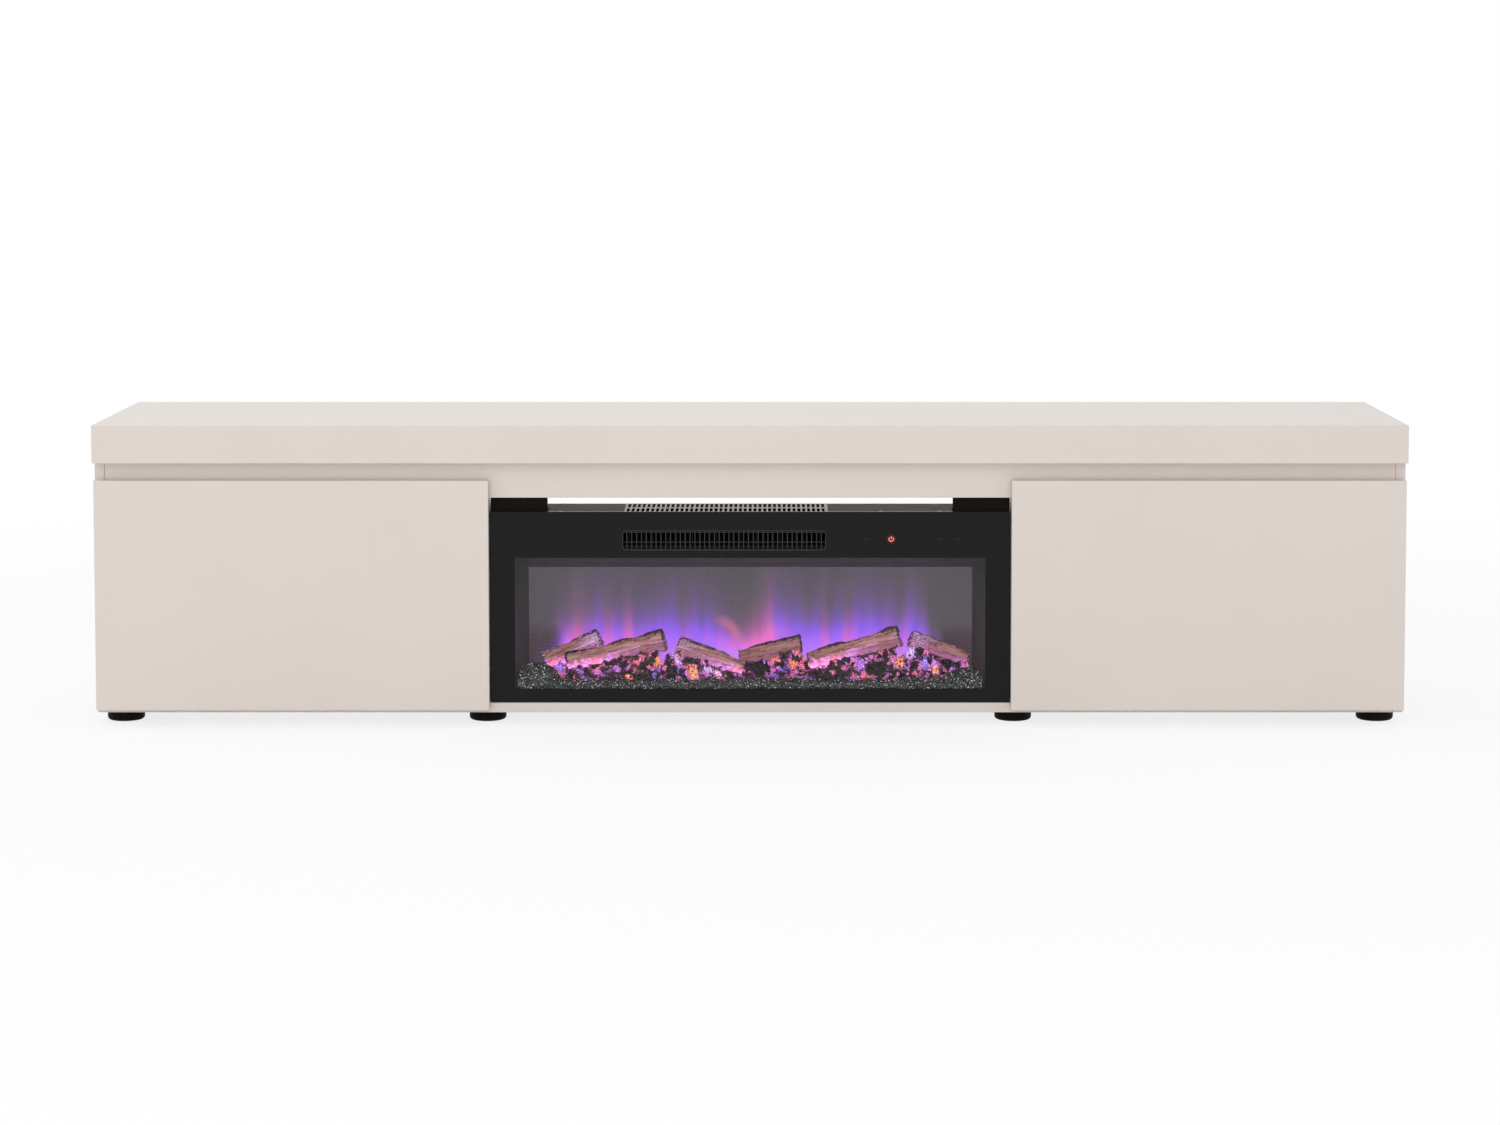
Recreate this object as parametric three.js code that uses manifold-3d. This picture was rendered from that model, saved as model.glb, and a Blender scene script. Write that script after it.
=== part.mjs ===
// Low television stand with an electric fire in its open middle bay and a drop-down flap on each side.
// Millimetres, +Z up. The origin is on the floor under the middle, and the front looks towards -Y.

import * as THREE from 'three';
import { mergeVertices } from 'three/addons/utils/BufferGeometryUtils.js';
import Module from 'manifold-3d';

const library = await Module();
library.setup();

// Driving dimensions of the cabinet
const overallWidth = 2000;
const overallDepth = 400;
const board = 15;
const footHeight = 20;
const railReveal = 55;
const topThickness = 58;
const frontSetback = 24;
const backThickness = 3;
const backMargin = 2;
const stretcherHeight = 60;
const clearance = 0.3;
const cutOverrun = 5;
const arcSteps = 6;
const roundSteps = 16;

// Feet
const footDiameter = 57;
const footEdgeRadius = 5;
const footFromEnd = 33;
const footPastBay = 6.5;
const footFromFront = 83;
const footSegments = 24;
const footArcSteps = 3;

// Flaps
const flapThickness = 15;
const flapAirGap = 3;
const flapReveal = 6;
const gripGap = 27;
const flapEndInset = 1;
const flapBayOverlap = 1.5;

// Flap hinges, measured from the pivot
const pivotInset = 6;
const pivotRise = 4;
const hingeFromEnd = 100;
const pinRadius = 1.5;
const tongueEyeRadius = 3.2;
const tongueWidth = 12;
const plateWidth = 30;
const plateLength = 40;
const plateSetback = 4;
const plateThickness = 2;
const earRadius = 3.5;
const earThickness = 2;
const earGap = 1;
const leafThickness = 1.6;
const leafHeight = 34;
const leafRise = 16;
const notchWidth = 24;
const notchDepth = 11;
const notchHeight = 18;

// Flap stays: the pivot on the flap and the stud on the side lie at one radius from the hinge,
// so the arm turns by exactly half of what the flap turns.
const stayRadius = 150;
const stayStandOff = 20;
const stayClosedAngle = THREE.MathUtils.degToRad(25);
const flapTravel = THREE.MathUtils.degToRad(90);
const stayArmWidth = 14;
const stayArmThickness = 2;
const stayArmFromSide = 7;
const studRadius = 3;
const studShoulderRadius = 5;
const studFlangeRadius = 8;
const studFlangeThickness = 3;
const studHeadRadius = 6;
const studHeadThickness = 2.5;
const stayPinRadius = 2.5;
const stayPinHeadRadius = 4;
const stayPinHeadThickness = 1.7;
const lugThickness = 2;
const lugGap = 2;
const stayBaseWidth = 24;
const stayBaseHeight = 32;

// Electric fire: its width, height and depth drive the bay round it and everything inside it
const housingWidth = 788;
const glassHeight = 293.5;
const fireDepth = 122;
const sheet = 1.2;
const glassOverhang = 3;
const glassThickness = 4;
const glassLift = 1;
const gapBesideFire = 3;
const gapOverFire = 21.5;
const housingFlange = 10;
const coverDrop = 2.5;
const windowSideMargin = 37;
const windowBottomMargin = 20;
const windowTopMargin = 71;

// Warm air outlet and the air slots in the cover
const outletCentreShare = -0.05;
const outletWidthShare = 0.393;
const outletHeight = 31;
const outletTopDrop = 28.5;
const outletRadius = 6;
const outletProud = 0.5;
const outletRim = 1.8;
const outletLip = 4;
const outletLipThickness = 1.5;
const slatPitch = 7.5;
const slatWidth = 2.4;
const slatSetback = 1;
const crossBarHeight = 1.2;
const crossBarShares = [0.6];
const ventOffset = 2;
const ventSlotWidth = 4.6;
const ventFrontMargin = 6;
const ventBackMargin = 8;
const ventBar = 6;
const ventBarShare = 0.6;

// Fixing brackets over the fire's upper corners
const bracketWidth = 87;
const bracketInset = 3;
const bracketRise = 48;
const bracketFoot = 40;
const bracketThickness = 1.5;

// Hood round the flames, and the screen behind them
const linerFrontMargin = 2;
const linerBackInset = 15.5;
const linerBackDrop = 26;
const screenInset = 8;
const screenRise = 20;
const screenFromBack = 36.8;
const screenThickness = 3;

// Logs, ember bed and gravel
const logThickness = 30;
const logSides = 10;
const logRings = 6;
const logRidge = 0.1;
const frontLogShare = 0.29;
const rearLogShare = 0.75;
const gravelDepth = 20;
const gravelInset = 4;
const gravelFrontHeight = 18;
const gravelBackHeight = 24;
const emberInset = 20;
const emberBackGap = 3.4;
const emberFrontHeight = 24;
const emberBackHeight = 46;
const emberRipple = 2.5;
const emberRipplePitch = 46;
const emberStepsX = 36;
const emberStepsY = 5;
const emberEndTaper = 40;
const logSeatShare = 0.34;
const logSeatSpreadX = 21;
const logSeatSpreadY = 15;

// Flame works behind the screen
const spindleRadius = 2;
const spindleBack = 17;
const spindleRise = 26;
const paddleRadius = 13;
const paddleThickness = 1;
const paddleShare = 0.8;
const paddleCount = 16;
const trayInset = 49;
const trayDepth = 29;
const trayEndHeight = 44;
const trayEndWidth = 22;
const trayLeftInset = 7;
const trayRightInset = 23;
const ledStripWidth = 6;
const ledStripHeight = 2;
const flameMotorRadius = 11;
const flameMotorLength = 24;
const shaftSocket = 10;

// Blower, heater and controls
const ductMargin = 4;
const ductFront = 4;
const ductDepth = 77;
const ductDrop = 62;
const wheelRadius = 20;
const wheelAxisBack = 54;
const wheelAxisDrop = 30;
const wheelEndGap = 6;
const wheelDisc = 2;
const wheelBlades = 12;
const bladeDepth = 7;
const bladeThickness = 0.8;
const bladeSkew = 0.5;
const axleRadius = 3;
const blowerMotorRadius = 23;
const blowerMotorLength = 40;
const heaterBack = 14;
const heaterDepth = 12;
const heaterHeight = 32;
const heaterRise = 6;
const heaterBar = 4;
const finPitch = 12;
const finThickness = 1;
const controlSideMargin = 62;
const controlHeight = 32;
const controlDrop = 26;
const controlThickness = 1.6;
const chipDepth = 8;
const chipWidthShare = 0.16;
const chipHeightShare = 0.5;
const chipPlaceShares = [0.2, 0.55, 0.82];
const glandFromEnd = 94;
const glandDrop = 60;
const glandBodyRadius = 10;
const glandShankRadius = 6;
const glandBoreRadius = 3.8;
const glandInside = 6;
const glandOutside = 12;

// Heights and depths that follow from the sizes above
const halfWidth = overallWidth / 2;
const frontY = -overallDepth / 2;
const rearY = overallDepth / 2;
const carcaseFrontY = frontY + frontSetback;
const carcaseRearY = rearY - backThickness;
const floorTopZ = footHeight + board;
const railBottomZ = floorTopZ + glassLift + glassHeight + gapOverFire;
const topUnderZ = railBottomZ + railReveal;
const overallHeight = topUnderZ + topThickness;
const boardUnderZ = overallHeight - board;
const halfHousing = housingWidth / 2;
const halfGlass = halfHousing + glassOverhang;
const halfBay = halfGlass + gapBesideFire;
const sideInnerX = halfWidth - board;

const glassFrontY = carcaseFrontY;
const glassBackY = glassFrontY + glassThickness;
const glassBottomZ = floorTopZ + glassLift;
const glassTopZ = glassBottomZ + glassHeight;
const fireBackY = glassBackY + fireDepth;
const fireFloorZ = floorTopZ + sheet;
const coverTopZ = glassTopZ - coverDrop;
const coverUnderZ = coverTopZ - sheet;
const linerFrontY = glassBackY + sheet + clearance;
const screenFrontY = fireBackY - screenFromBack;
const linerDepth = screenFrontY - clearance - linerFrontY;

const halfWindow = halfGlass - windowSideMargin;
const windowBottomZ = glassBottomZ + windowBottomMargin;
const windowTopZ = glassTopZ - windowTopMargin;
const outletCentreX = 2 * outletCentreShare * halfGlass;
const outletWidth = 2 * outletWidthShare * halfGlass;
const ductLow = outletCentreX - outletWidth / 2 - ductMargin;
const ductHigh = outletCentreX + outletWidth / 2 + ductMargin;

const part = new THREE.Group();

function finish(color, roughness, metalness) {
  return new THREE.MeshStandardMaterial({ color, roughness, metalness });
}

const cashmereBoard = finish(0xdbd3cc, 0.35, 0);
const backBoard = finish(0xd8d2ca, 0.7, 0);
const blackPlastic = finish(0x1a1918, 0.55, 0);
const zincSteel = finish(0xb9bcbe, 0.35, 0.9);
const blackSteel = finish(0x1c1b1a, 0.6, 0.3);
const greySteel = finish(0x5d5c5a, 0.55, 0.4);
const blackGlass = finish(0x242423, 0.05, 0);
const linerPaint = finish(0x3f3d3f, 0.7, 0);
const frostedScreen = finish(0x57545a, 0.6, 0);
const logBrown = finish(0x6d4a3c, 0.8, 0);
const emberRed = finish(0x7a3540, 0.7, 0);
const gravelBlack = finish(0x3a3c3b, 0.3, 0);
const boardGreen = finish(0x2c5a3c, 0.5, 0);
const mirrorFoil = finish(0xd5d7da, 0.15, 1);

function add(name, geometry, material, parent = part) {
  const mesh = new THREE.Mesh(geometry, material);
  mesh.name = name;
  parent.add(mesh);
  return mesh;
}

// A box between two limits on each axis, so that pieces that share a limit meet face to face.
function box([x0, x1], [y0, y1], [z0, z1]) {
  const geometry = new THREE.BoxGeometry();
  const corners = geometry.attributes.position;
  for (let i = 0; i < corners.count; i++) {
    corners.setX(i, corners.getX(i) < 0 ? x0 : x1);
    corners.setY(i, corners.getY(i) < 0 ? y0 : y1);
    corners.setZ(i, corners.getZ(i) < 0 ? z0 : z1);
  }
  return geometry;
}

const alongX = new THREE.Matrix4().makeBasis(
  new THREE.Vector3(0, 1, 0), new THREE.Vector3(0, 0, 1), new THREE.Vector3(1, 0, 0));
const alongY = new THREE.Matrix4().makeBasis(
  new THREE.Vector3(0, 0, 1), new THREE.Vector3(1, 0, 0), new THREE.Vector3(0, 1, 0));

// A side outline in Y and Z, run along X between two limits.
function runAlongX(outline, [x0, x1]) {
  const geometry = new THREE.ExtrudeGeometry(
    outline, { depth: x1 - x0, bevelEnabled: false, curveSegments: arcSteps });
  return geometry.applyMatrix4(alongX).translate(x0, 0, 0);
}

// A front outline in Z and X, run along Y between two limits.
function runAlongY(outline, [y0, y1]) {
  const geometry = new THREE.ExtrudeGeometry(
    outline, { depth: y1 - y0, bevelEnabled: false, curveSegments: arcSteps });
  return geometry.applyMatrix4(alongY).translate(0, y0, 0);
}

function disc(centreX, centreY, radius, segments = roundSteps) {
  const outline = new THREE.Shape();
  for (let i = 0; i < segments; i++) {
    const turn = i / segments * 2 * Math.PI;
    const x = centreX + radius * Math.cos(turn);
    const y = centreY + radius * Math.sin(turn);
    if (i === 0) outline.moveTo(x, y);
    else outline.lineTo(x, y);
  }
  return outline;
}

function rodAlongX(centreY, centreZ, radius, xRange, segments = roundSteps) {
  return runAlongX(disc(centreY, centreZ, radius, segments), xRange);
}

function toSolid(geometry) {
  const bare = geometry.clone();
  bare.deleteAttribute('normal');
  bare.deleteAttribute('uv');
  const merged = mergeVertices(bare);
  const triangles = [];
  for (let i = 0; i < merged.index.count; i += 3) {
    const [a, b, c] = [0, 1, 2].map((corner) => merged.index.getX(i + corner));
    if (a !== b && b !== c && c !== a) triangles.push(a, b, c);
  }
  return new library.Manifold(new library.Mesh({
    numProp: 3,
    vertProperties: new Float32Array(merged.attributes.position.array),
    triVerts: Uint32Array.from(triangles),
  }));
}

function toGeometry(solid) {
  const mesh = solid.getMesh();
  const geometry = new THREE.BufferGeometry();
  geometry.setAttribute('position', new THREE.BufferAttribute(mesh.vertProperties.slice(), 3));
  geometry.setIndex(new THREE.BufferAttribute(mesh.triVerts.slice(), 1));
  geometry.computeVertexNormals();
  return geometry;
}

function join(...geometries) {
  return toGeometry(geometries.map(toSolid).reduce((whole, next) => whole.add(next)));
}

function cut(geometry, ...tools) {
  return toGeometry(tools.map(toSolid).reduce((rest, tool) => rest.subtract(tool), toSolid(geometry)));
}

// Cabinet
const carcaseY = [carcaseFrontY, carcaseRearY];

add('top_board', box([-halfWidth, halfWidth], [frontY, rearY], [boardUnderZ, overallHeight]), cashmereBoard);
add('top_front_fascia',
  box([-halfWidth, halfWidth], [frontY, carcaseFrontY], [topUnderZ, boardUnderZ]), cashmereBoard);
add('bottom_panel', box([-sideInnerX, sideInnerX], carcaseY, [footHeight, floorTopZ]), cashmereBoard);
add('rear_stretcher',
  box([-halfBay, halfBay],
    [carcaseRearY - board, carcaseRearY],
    [boardUnderZ - stretcherHeight, boardUnderZ]),
  cashmereBoard);

const railBackY = carcaseFrontY + board;
add('front_rail',
  box([-sideInnerX, sideInnerX], [carcaseFrontY, railBackY], [railBottomZ, boardUnderZ]), cashmereBoard);

// A pair of limits on the side that the sign gives, in rising order.
function onSide(side, inner, outer) {
  return side < 0 ? [-outer, -inner] : [inner, outer];
}

// The partitions are notched round the rail, which runs from side to side in front of them.
function partition(side) {
  const whole = box(onSide(side, halfBay, halfBay + board), carcaseY, [floorTopZ, boardUnderZ]);
  const railNotch = box(
    onSide(side, halfBay - cutOverrun, halfBay + board + cutOverrun),
    [carcaseFrontY - cutOverrun, railBackY],
    [railBottomZ, boardUnderZ + cutOverrun]);
  return cut(whole, railNotch);
}

for (const [sideName, side] of [['left', -1], ['right', 1]]) {
  add(`${sideName}_side_panel`,
    box(onSide(side, sideInnerX, halfWidth), carcaseY, [footHeight, boardUnderZ]), cashmereBoard);
  add(`${sideName}_partition`, partition(side), cashmereBoard);
  add(`${sideName}_back_panel`,
    box(onSide(side, halfBay + backMargin, halfWidth - backMargin),
      [carcaseRearY, rearY],
      [footHeight + backMargin, boardUnderZ - backMargin]),
    backBoard);
}

// Feet, turned about their own axis
function footSolid() {
  const radius = footDiameter / 2;
  const profile = [new THREE.Vector2(0, 0)];
  for (let i = 0; i <= footArcSteps; i++) {
    const turn = i / footArcSteps * Math.PI / 2;
    profile.push(new THREE.Vector2(
      radius - footEdgeRadius + footEdgeRadius * Math.sin(turn),
      footEdgeRadius - footEdgeRadius * Math.cos(turn)));
  }
  profile.push(new THREE.Vector2(radius, footHeight), new THREE.Vector2(0, footHeight));
  return new THREE.LatheGeometry(profile, footSegments).rotateX(Math.PI / 2);
}

const footPlacesX = [
  footFromEnd - halfWidth,
  -halfBay - footPastBay,
  halfBay + footPastBay,
  halfWidth - footFromEnd,
];
for (const [rowName, y] of [['front', frontY + footFromFront], ['rear', rearY - footFromFront]]) {
  footPlacesX.forEach((x, index) => {
    add(`foot_${rowName}_${index + 1}`, footSolid(), blackPlastic).position.set(x, y, 0);
  });
}

// Flap hinges and stays. The flap's own pieces are placed from the hinge axis.
const flapBackY = carcaseFrontY - flapAirGap;
const flapBottomZ = footHeight + flapReveal;
const flapTopZ = topUnderZ - gripGap;
const pivotY = flapBackY - pivotInset;
const pivotZ = flapBottomZ + pivotRise;

function flapBoard(xRange, hingePlaces) {
  const whole = box(
    xRange, [pivotInset - flapThickness, pivotInset], [-pivotRise, flapTopZ - pivotZ]);
  const notches = hingePlaces.map((x) => box(
    [x - notchWidth / 2, x + notchWidth / 2],
    [pivotInset - notchDepth, pivotInset + cutOverrun],
    [-pivotRise - cutOverrun, notchHeight - pivotRise]));
  return cut(whole, ...notches);
}

// Fixed plate: a cranked tongue leaves the base, and its eye turns round the pin.
function hingePlate() {
  const top = floorTopZ + plateThickness - pivotZ;
  const under = floorTopZ - pivotZ;
  const baseFront = carcaseFrontY + plateSetback - pivotY;
  const tongue = new THREE.Shape();
  tongue.moveTo(baseFront + plateThickness, top);
  tongue.lineTo(-tongueEyeRadius, top);
  tongue.lineTo(-tongueEyeRadius, 0);
  tongue.absarc(0, 0, tongueEyeRadius, Math.PI, 2 * Math.PI, false);
  tongue.lineTo(tongueEyeRadius, under);
  tongue.lineTo(baseFront + plateThickness, under);
  tongue.closePath();
  tongue.holes.push(disc(0, 0, pinRadius + clearance));
  const base = box([-plateWidth / 2, plateWidth / 2], [baseFront, baseFront + plateLength], [under, top]);
  return join(base, runAlongX(tongue, [-tongueWidth / 2, tongueWidth / 2]));
}

// Leaf on the flap: two ears carry the pin.
function hingeLeaf() {
  const leafBack = pivotInset + leafThickness;
  const ear = new THREE.Shape();
  ear.moveTo(earRadius, 0);
  ear.lineTo(leafBack, leafRise - pivotInset);
  ear.lineTo(leafBack, leafRise + pivotRise);
  ear.lineTo(pivotInset, leafRise + pivotRise);
  ear.lineTo(pivotInset, notchHeight - pivotRise - plateThickness);
  ear.lineTo(-earRadius, earRadius + plateThickness);
  ear.lineTo(-earRadius, 0);
  ear.absarc(0, 0, earRadius, Math.PI, 2 * Math.PI, false);
  const earInner = tongueWidth / 2 + earGap;
  const earOuter = earInner + earThickness;
  const plate = box(
    [-plateWidth / 2, plateWidth / 2], [pivotInset, leafBack], [leafRise, leafRise + leafHeight]);
  return join(
    plate,
    runAlongX(ear, [-earOuter, -earInner]),
    runAlongX(ear, [earInner, earOuter]),
    rodAlongX(0, 0, pinRadius, [-earOuter, earOuter]));
}

const stayPivotZ = Math.sqrt(stayRadius ** 2 - stayStandOff ** 2);
const flapPivotAngle = Math.atan2(stayStandOff, stayPivotZ);
const studAngle = flapPivotAngle + stayClosedAngle;
const closedReach = 2 * stayRadius * Math.sin(stayClosedAngle / 2);
const openReach = 2 * stayRadius * Math.sin((stayClosedAngle + flapTravel) / 2);
const armTilt = flapPivotAngle + stayClosedAngle / 2;
const armOuterX = sideInnerX - stayArmFromSide;
const armInnerX = armOuterX - stayArmThickness;
const lugOuterX = armInnerX - lugGap;
const lugInnerX = lugOuterX - lugThickness;

// A bar with round ends between two places along Y.
function roundedBar(start, end, radius) {
  const outline = new THREE.Shape();
  outline.moveTo(start, -radius);
  outline.lineTo(end, -radius);
  outline.absarc(end, 0, radius, -Math.PI / 2, Math.PI / 2, false);
  outline.lineTo(start, radius);
  outline.absarc(start, 0, radius, Math.PI / 2, 3 * Math.PI / 2, false);
  return outline;
}

function stayArm(side) {
  const outline = roundedBar(0, openReach + studRadius, stayArmWidth / 2);
  outline.holes.push(disc(0, 0, stayPinRadius + clearance));
  outline.holes.push(roundedBar(closedReach, openReach, studRadius + clearance));
  return runAlongX(outline, onSide(side, armInnerX, armOuterX));
}

// Bracket on the flap's back: a base, a lug and the pin that the arm turns on.
function stayBracket(side) {
  const lug = new THREE.Shape();
  const lugRadius = stayArmWidth / 2;
  lug.moveTo(pivotInset, stayPivotZ - lugRadius);
  lug.lineTo(stayStandOff, stayPivotZ - lugRadius);
  lug.absarc(stayStandOff, stayPivotZ, lugRadius, -Math.PI / 2, Math.PI / 2, false);
  lug.lineTo(pivotInset, stayPivotZ + lugRadius);
  const headInnerX = armOuterX + clearance;
  return join(
    box(onSide(side, lugOuterX - stayBaseWidth, lugOuterX),
      [pivotInset, pivotInset + lugThickness],
      [stayPivotZ - stayBaseHeight / 2, stayPivotZ + stayBaseHeight / 2]),
    runAlongX(lug, onSide(side, lugInnerX, lugOuterX)),
    rodAlongX(stayStandOff, stayPivotZ, stayPinRadius,
      onSide(side, lugInnerX, headInnerX + stayPinHeadThickness)),
    rodAlongX(stayStandOff, stayPivotZ, stayPinHeadRadius,
      onSide(side, headInnerX, headInnerX + stayPinHeadThickness)));
}

// Stud on the side panel: the arm's slot slides over its shank, between its shoulder and its head.
function stayStud(side) {
  const y = pivotY + stayRadius * Math.sin(studAngle);
  const z = pivotZ + stayRadius * Math.cos(studAngle);
  const shoulderX = armOuterX + clearance;
  const headX = armInnerX - clearance;
  const flangeX = sideInnerX - studFlangeThickness;
  return join(
    rodAlongX(y, z, studFlangeRadius, onSide(side, flangeX, sideInnerX)),
    rodAlongX(y, z, studShoulderRadius, onSide(side, shoulderX, sideInnerX)),
    rodAlongX(y, z, studRadius, onSide(side, headX - studHeadThickness, sideInnerX)),
    rodAlongX(y, z, studHeadRadius, onSide(side, headX - studHeadThickness, headX)));
}

for (const [sideName, side] of [['left', -1], ['right', 1]]) {
  const flapRange = onSide(side, halfBay - flapBayOverlap, halfWidth - flapEndInset);
  const hingePlaces = [flapRange[0] + hingeFromEnd, flapRange[1] - hingeFromEnd];
  const flap = new THREE.Group();
  flap.position.set(0, pivotY, pivotZ);
  part.add(flap);
  add(`${sideName}_flap`, flapBoard(flapRange, hingePlaces), cashmereBoard, flap);
  hingePlaces.forEach((x, index) => {
    add(`${sideName}_hinge_leaf_${index + 1}`, hingeLeaf(), zincSteel, flap).position.x = x;
    add(`${sideName}_hinge_plate_${index + 1}`, hingePlate(), zincSteel).position.set(x, pivotY, pivotZ);
  });
  add(`${sideName}_stay_bracket`, stayBracket(side), zincSteel, flap);
  const arm = add(`${sideName}_stay_arm`, stayArm(side), zincSteel, flap);
  arm.position.set(0, stayStandOff, stayPivotZ);
  arm.rotation.x = -armTilt;
  add(`${sideName}_stay_stud`, stayStud(side), zincSteel);
}

// Electric fire: front glass with a cut-out that the outlet fits
function roundedOutlet(grow, radius) {
  const low = outletCentreX - outletWidth / 2 - grow;
  const high = outletCentreX + outletWidth / 2 + grow;
  const top = glassTopZ - outletTopDrop + grow;
  const bottom = glassTopZ - outletTopDrop - outletHeight - grow;
  const outline = new THREE.Shape();
  outline.moveTo(bottom + radius, low);
  outline.lineTo(top - radius, low);
  outline.absarc(top - radius, low + radius, radius, -Math.PI / 2, 0, false);
  outline.lineTo(top, high - radius);
  outline.absarc(top - radius, high - radius, radius, 0, Math.PI / 2, false);
  outline.lineTo(bottom + radius, high);
  outline.absarc(bottom + radius, high - radius, radius, Math.PI / 2, Math.PI, false);
  outline.lineTo(bottom, low + radius);
  outline.absarc(bottom + radius, low + radius, radius, Math.PI, 3 * Math.PI / 2, false);
  return outline;
}

const wholeGlass = box([-halfGlass, halfGlass], [glassFrontY, glassBackY], [glassBottomZ, glassTopZ]);
const outletCut = runAlongY(
  roundedOutlet(clearance, outletRadius + clearance), [glassFrontY - cutOverrun, glassBackY + cutOverrun]);
add('fire_front_glass', cut(wholeGlass, outletCut), blackGlass);

// Outlet: a rim with a lip behind the glass, upright slats and cross bars behind them
const slatCount = Math.round(outletWidth / slatPitch) - 1;

function outletGrille() {
  const lipFront = glassBackY + clearance;
  const lipBack = lipFront + outletLipThickness;
  const rim = cut(
    join(
      runAlongY(roundedOutlet(0, outletRadius), [glassFrontY - outletProud, lipBack]),
      runAlongY(roundedOutlet(outletLip, outletRadius + outletLip), [lipFront, lipBack])),
    runAlongY(roundedOutlet(-outletRim, outletRadius - outletRim),
      [glassFrontY - cutOverrun, lipBack + cutOverrun]));
  const low = outletCentreX - outletWidth / 2;
  const top = glassTopZ - outletTopDrop - outletRim / 2;
  const bottom = glassTopZ - outletTopDrop - outletHeight + outletRim / 2;
  const slatY = [glassFrontY + slatSetback, lipFront + outletLipThickness / 2];
  const slats = [];
  for (let i = 1; i <= slatCount; i++) {
    const x = low + i * outletWidth / (slatCount + 1);
    slats.push(box([x - slatWidth / 2, x + slatWidth / 2], slatY, [bottom, top]));
  }
  const bars = crossBarShares.map((share) => {
    const z = top - share * (top - bottom);
    return box(
      [low + outletRim / 2, low + outletWidth - outletRim / 2],
      [lipFront, lipBack],
      [z - crossBarHeight / 2, z + crossBarHeight / 2]);
  });
  return join(rim, ...slats, ...bars);
}

add('outlet_grille', outletGrille(), blackPlastic);

// Steel box, open in front and on top, with a narrow return round its front
const glandX = halfHousing - glandFromEnd;
const glandZ = coverUnderZ - glandDrop;

function fireHousing() {
  const whole = box([-halfHousing, halfHousing], [glassBackY, fireBackY], [floorTopZ, coverUnderZ]);
  const inside = box(
    [sheet - halfHousing, halfHousing - sheet], [glassBackY + sheet, fireBackY - sheet],
    [fireFloorZ, coverUnderZ + cutOverrun]);
  const mouth = box(
    [housingFlange - halfHousing, halfHousing - housingFlange],
    [glassBackY - cutOverrun, glassBackY + cutOverrun],
    [floorTopZ + housingFlange, coverUnderZ + cutOverrun]);
  const glandHole = runAlongY(
    disc(glandZ, glandX, glandShankRadius + clearance), [fireBackY - cutOverrun, fireBackY + cutOverrun]);
  return cut(whole, inside, mouth, glandHole);
}

add('fire_housing', fireHousing(), greySteel);

// Cover with two rows of air slots, on either side of a bar
function fireCover() {
  const whole = box([-halfHousing, halfHousing], [glassBackY, fireBackY], [coverUnderZ, coverTopZ]);
  const slotFront = glassBackY + ventFrontMargin;
  const slotBack = fireBackY - ventBackMargin;
  const barY = slotFront + ventBarShare * (slotBack - slotFront);
  const slots = [];
  for (let i = 0; i < slatCount; i++) {
    const x = outletCentreX + ventOffset + (i - (slatCount - 1) / 2) * slatPitch;
    for (const [y0, y1] of [[slotFront, barY - ventBar / 2], [barY + ventBar / 2, slotBack]]) {
      slots.push(box(
        [x - ventSlotWidth / 2, x + ventSlotWidth / 2], [y0, y1],
        [coverUnderZ - cutOverrun, coverTopZ + cutOverrun]));
    }
  }
  return cut(whole, ...slots);
}

add('fire_top_cover', fireCover(), greySteel);

// Each bracket stands on the cover and is screwed to the back of the rail.
for (const [sideName, side] of [['left', -1], ['right', 1]]) {
  const outer = halfBay - bracketInset;
  const range = onSide(side, outer - bracketWidth, outer);
  const upright = box(range, [railBackY, railBackY + bracketThickness], [coverTopZ, coverTopZ + bracketRise]);
  const sole = box(range, [railBackY, railBackY + bracketFoot], [coverTopZ, coverTopZ + bracketThickness]);
  add(`${sideName}_fixing_bracket`, join(upright, sole), blackSteel);
}

// Hood round the flames: it narrows towards the screen, and is open in front, behind and below.
function taperedBlock(front, back, [y0, y1], bottom) {
  const geometry = new THREE.BoxGeometry();
  const corners = geometry.attributes.position;
  for (let i = 0; i < corners.count; i++) {
    const end = corners.getY(i) < 0 ? front : back;
    corners.setXYZ(i,
      corners.getX(i) < 0 ? -end.halfWidth : end.halfWidth,
      corners.getY(i) < 0 ? y0 : y1,
      corners.getZ(i) < 0 ? bottom : end.top);
  }
  return geometry;
}

function fireboxLiner() {
  const y0 = linerFrontY;
  const y1 = y0 + linerDepth;
  const front = { halfWidth: halfWindow + linerFrontMargin, top: windowTopZ + linerFrontMargin };
  const back = { halfWidth: halfWindow - linerBackInset, top: windowTopZ - linerBackDrop };
  const grow = (end, by) => ({ halfWidth: end.halfWidth + by, top: end.top + by });
  const overrunShare = cutOverrun / linerDepth;
  const beyond = (near, far) => ({
    halfWidth: near.halfWidth + overrunShare * (near.halfWidth - far.halfWidth),
    top: near.top + overrunShare * (near.top - far.top),
  });
  const outer = taperedBlock(grow(front, sheet), grow(back, sheet), [y0, y1], fireFloorZ);
  const inner = taperedBlock(
    beyond(front, back), beyond(back, front), [y0 - cutOverrun, y1 + cutOverrun], fireFloorZ - cutOverrun);
  return cut(outer, inner);
}

add('firebox_liner', fireboxLiner(), linerPaint);

const halfScreen = halfWindow - screenInset;
add('flame_screen',
  box([-halfScreen, halfScreen],
    [screenFrontY, screenFrontY + screenThickness],
    [fireFloorZ, windowTopZ - linerBackDrop + screenRise]),
  frostedScreen);

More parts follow.
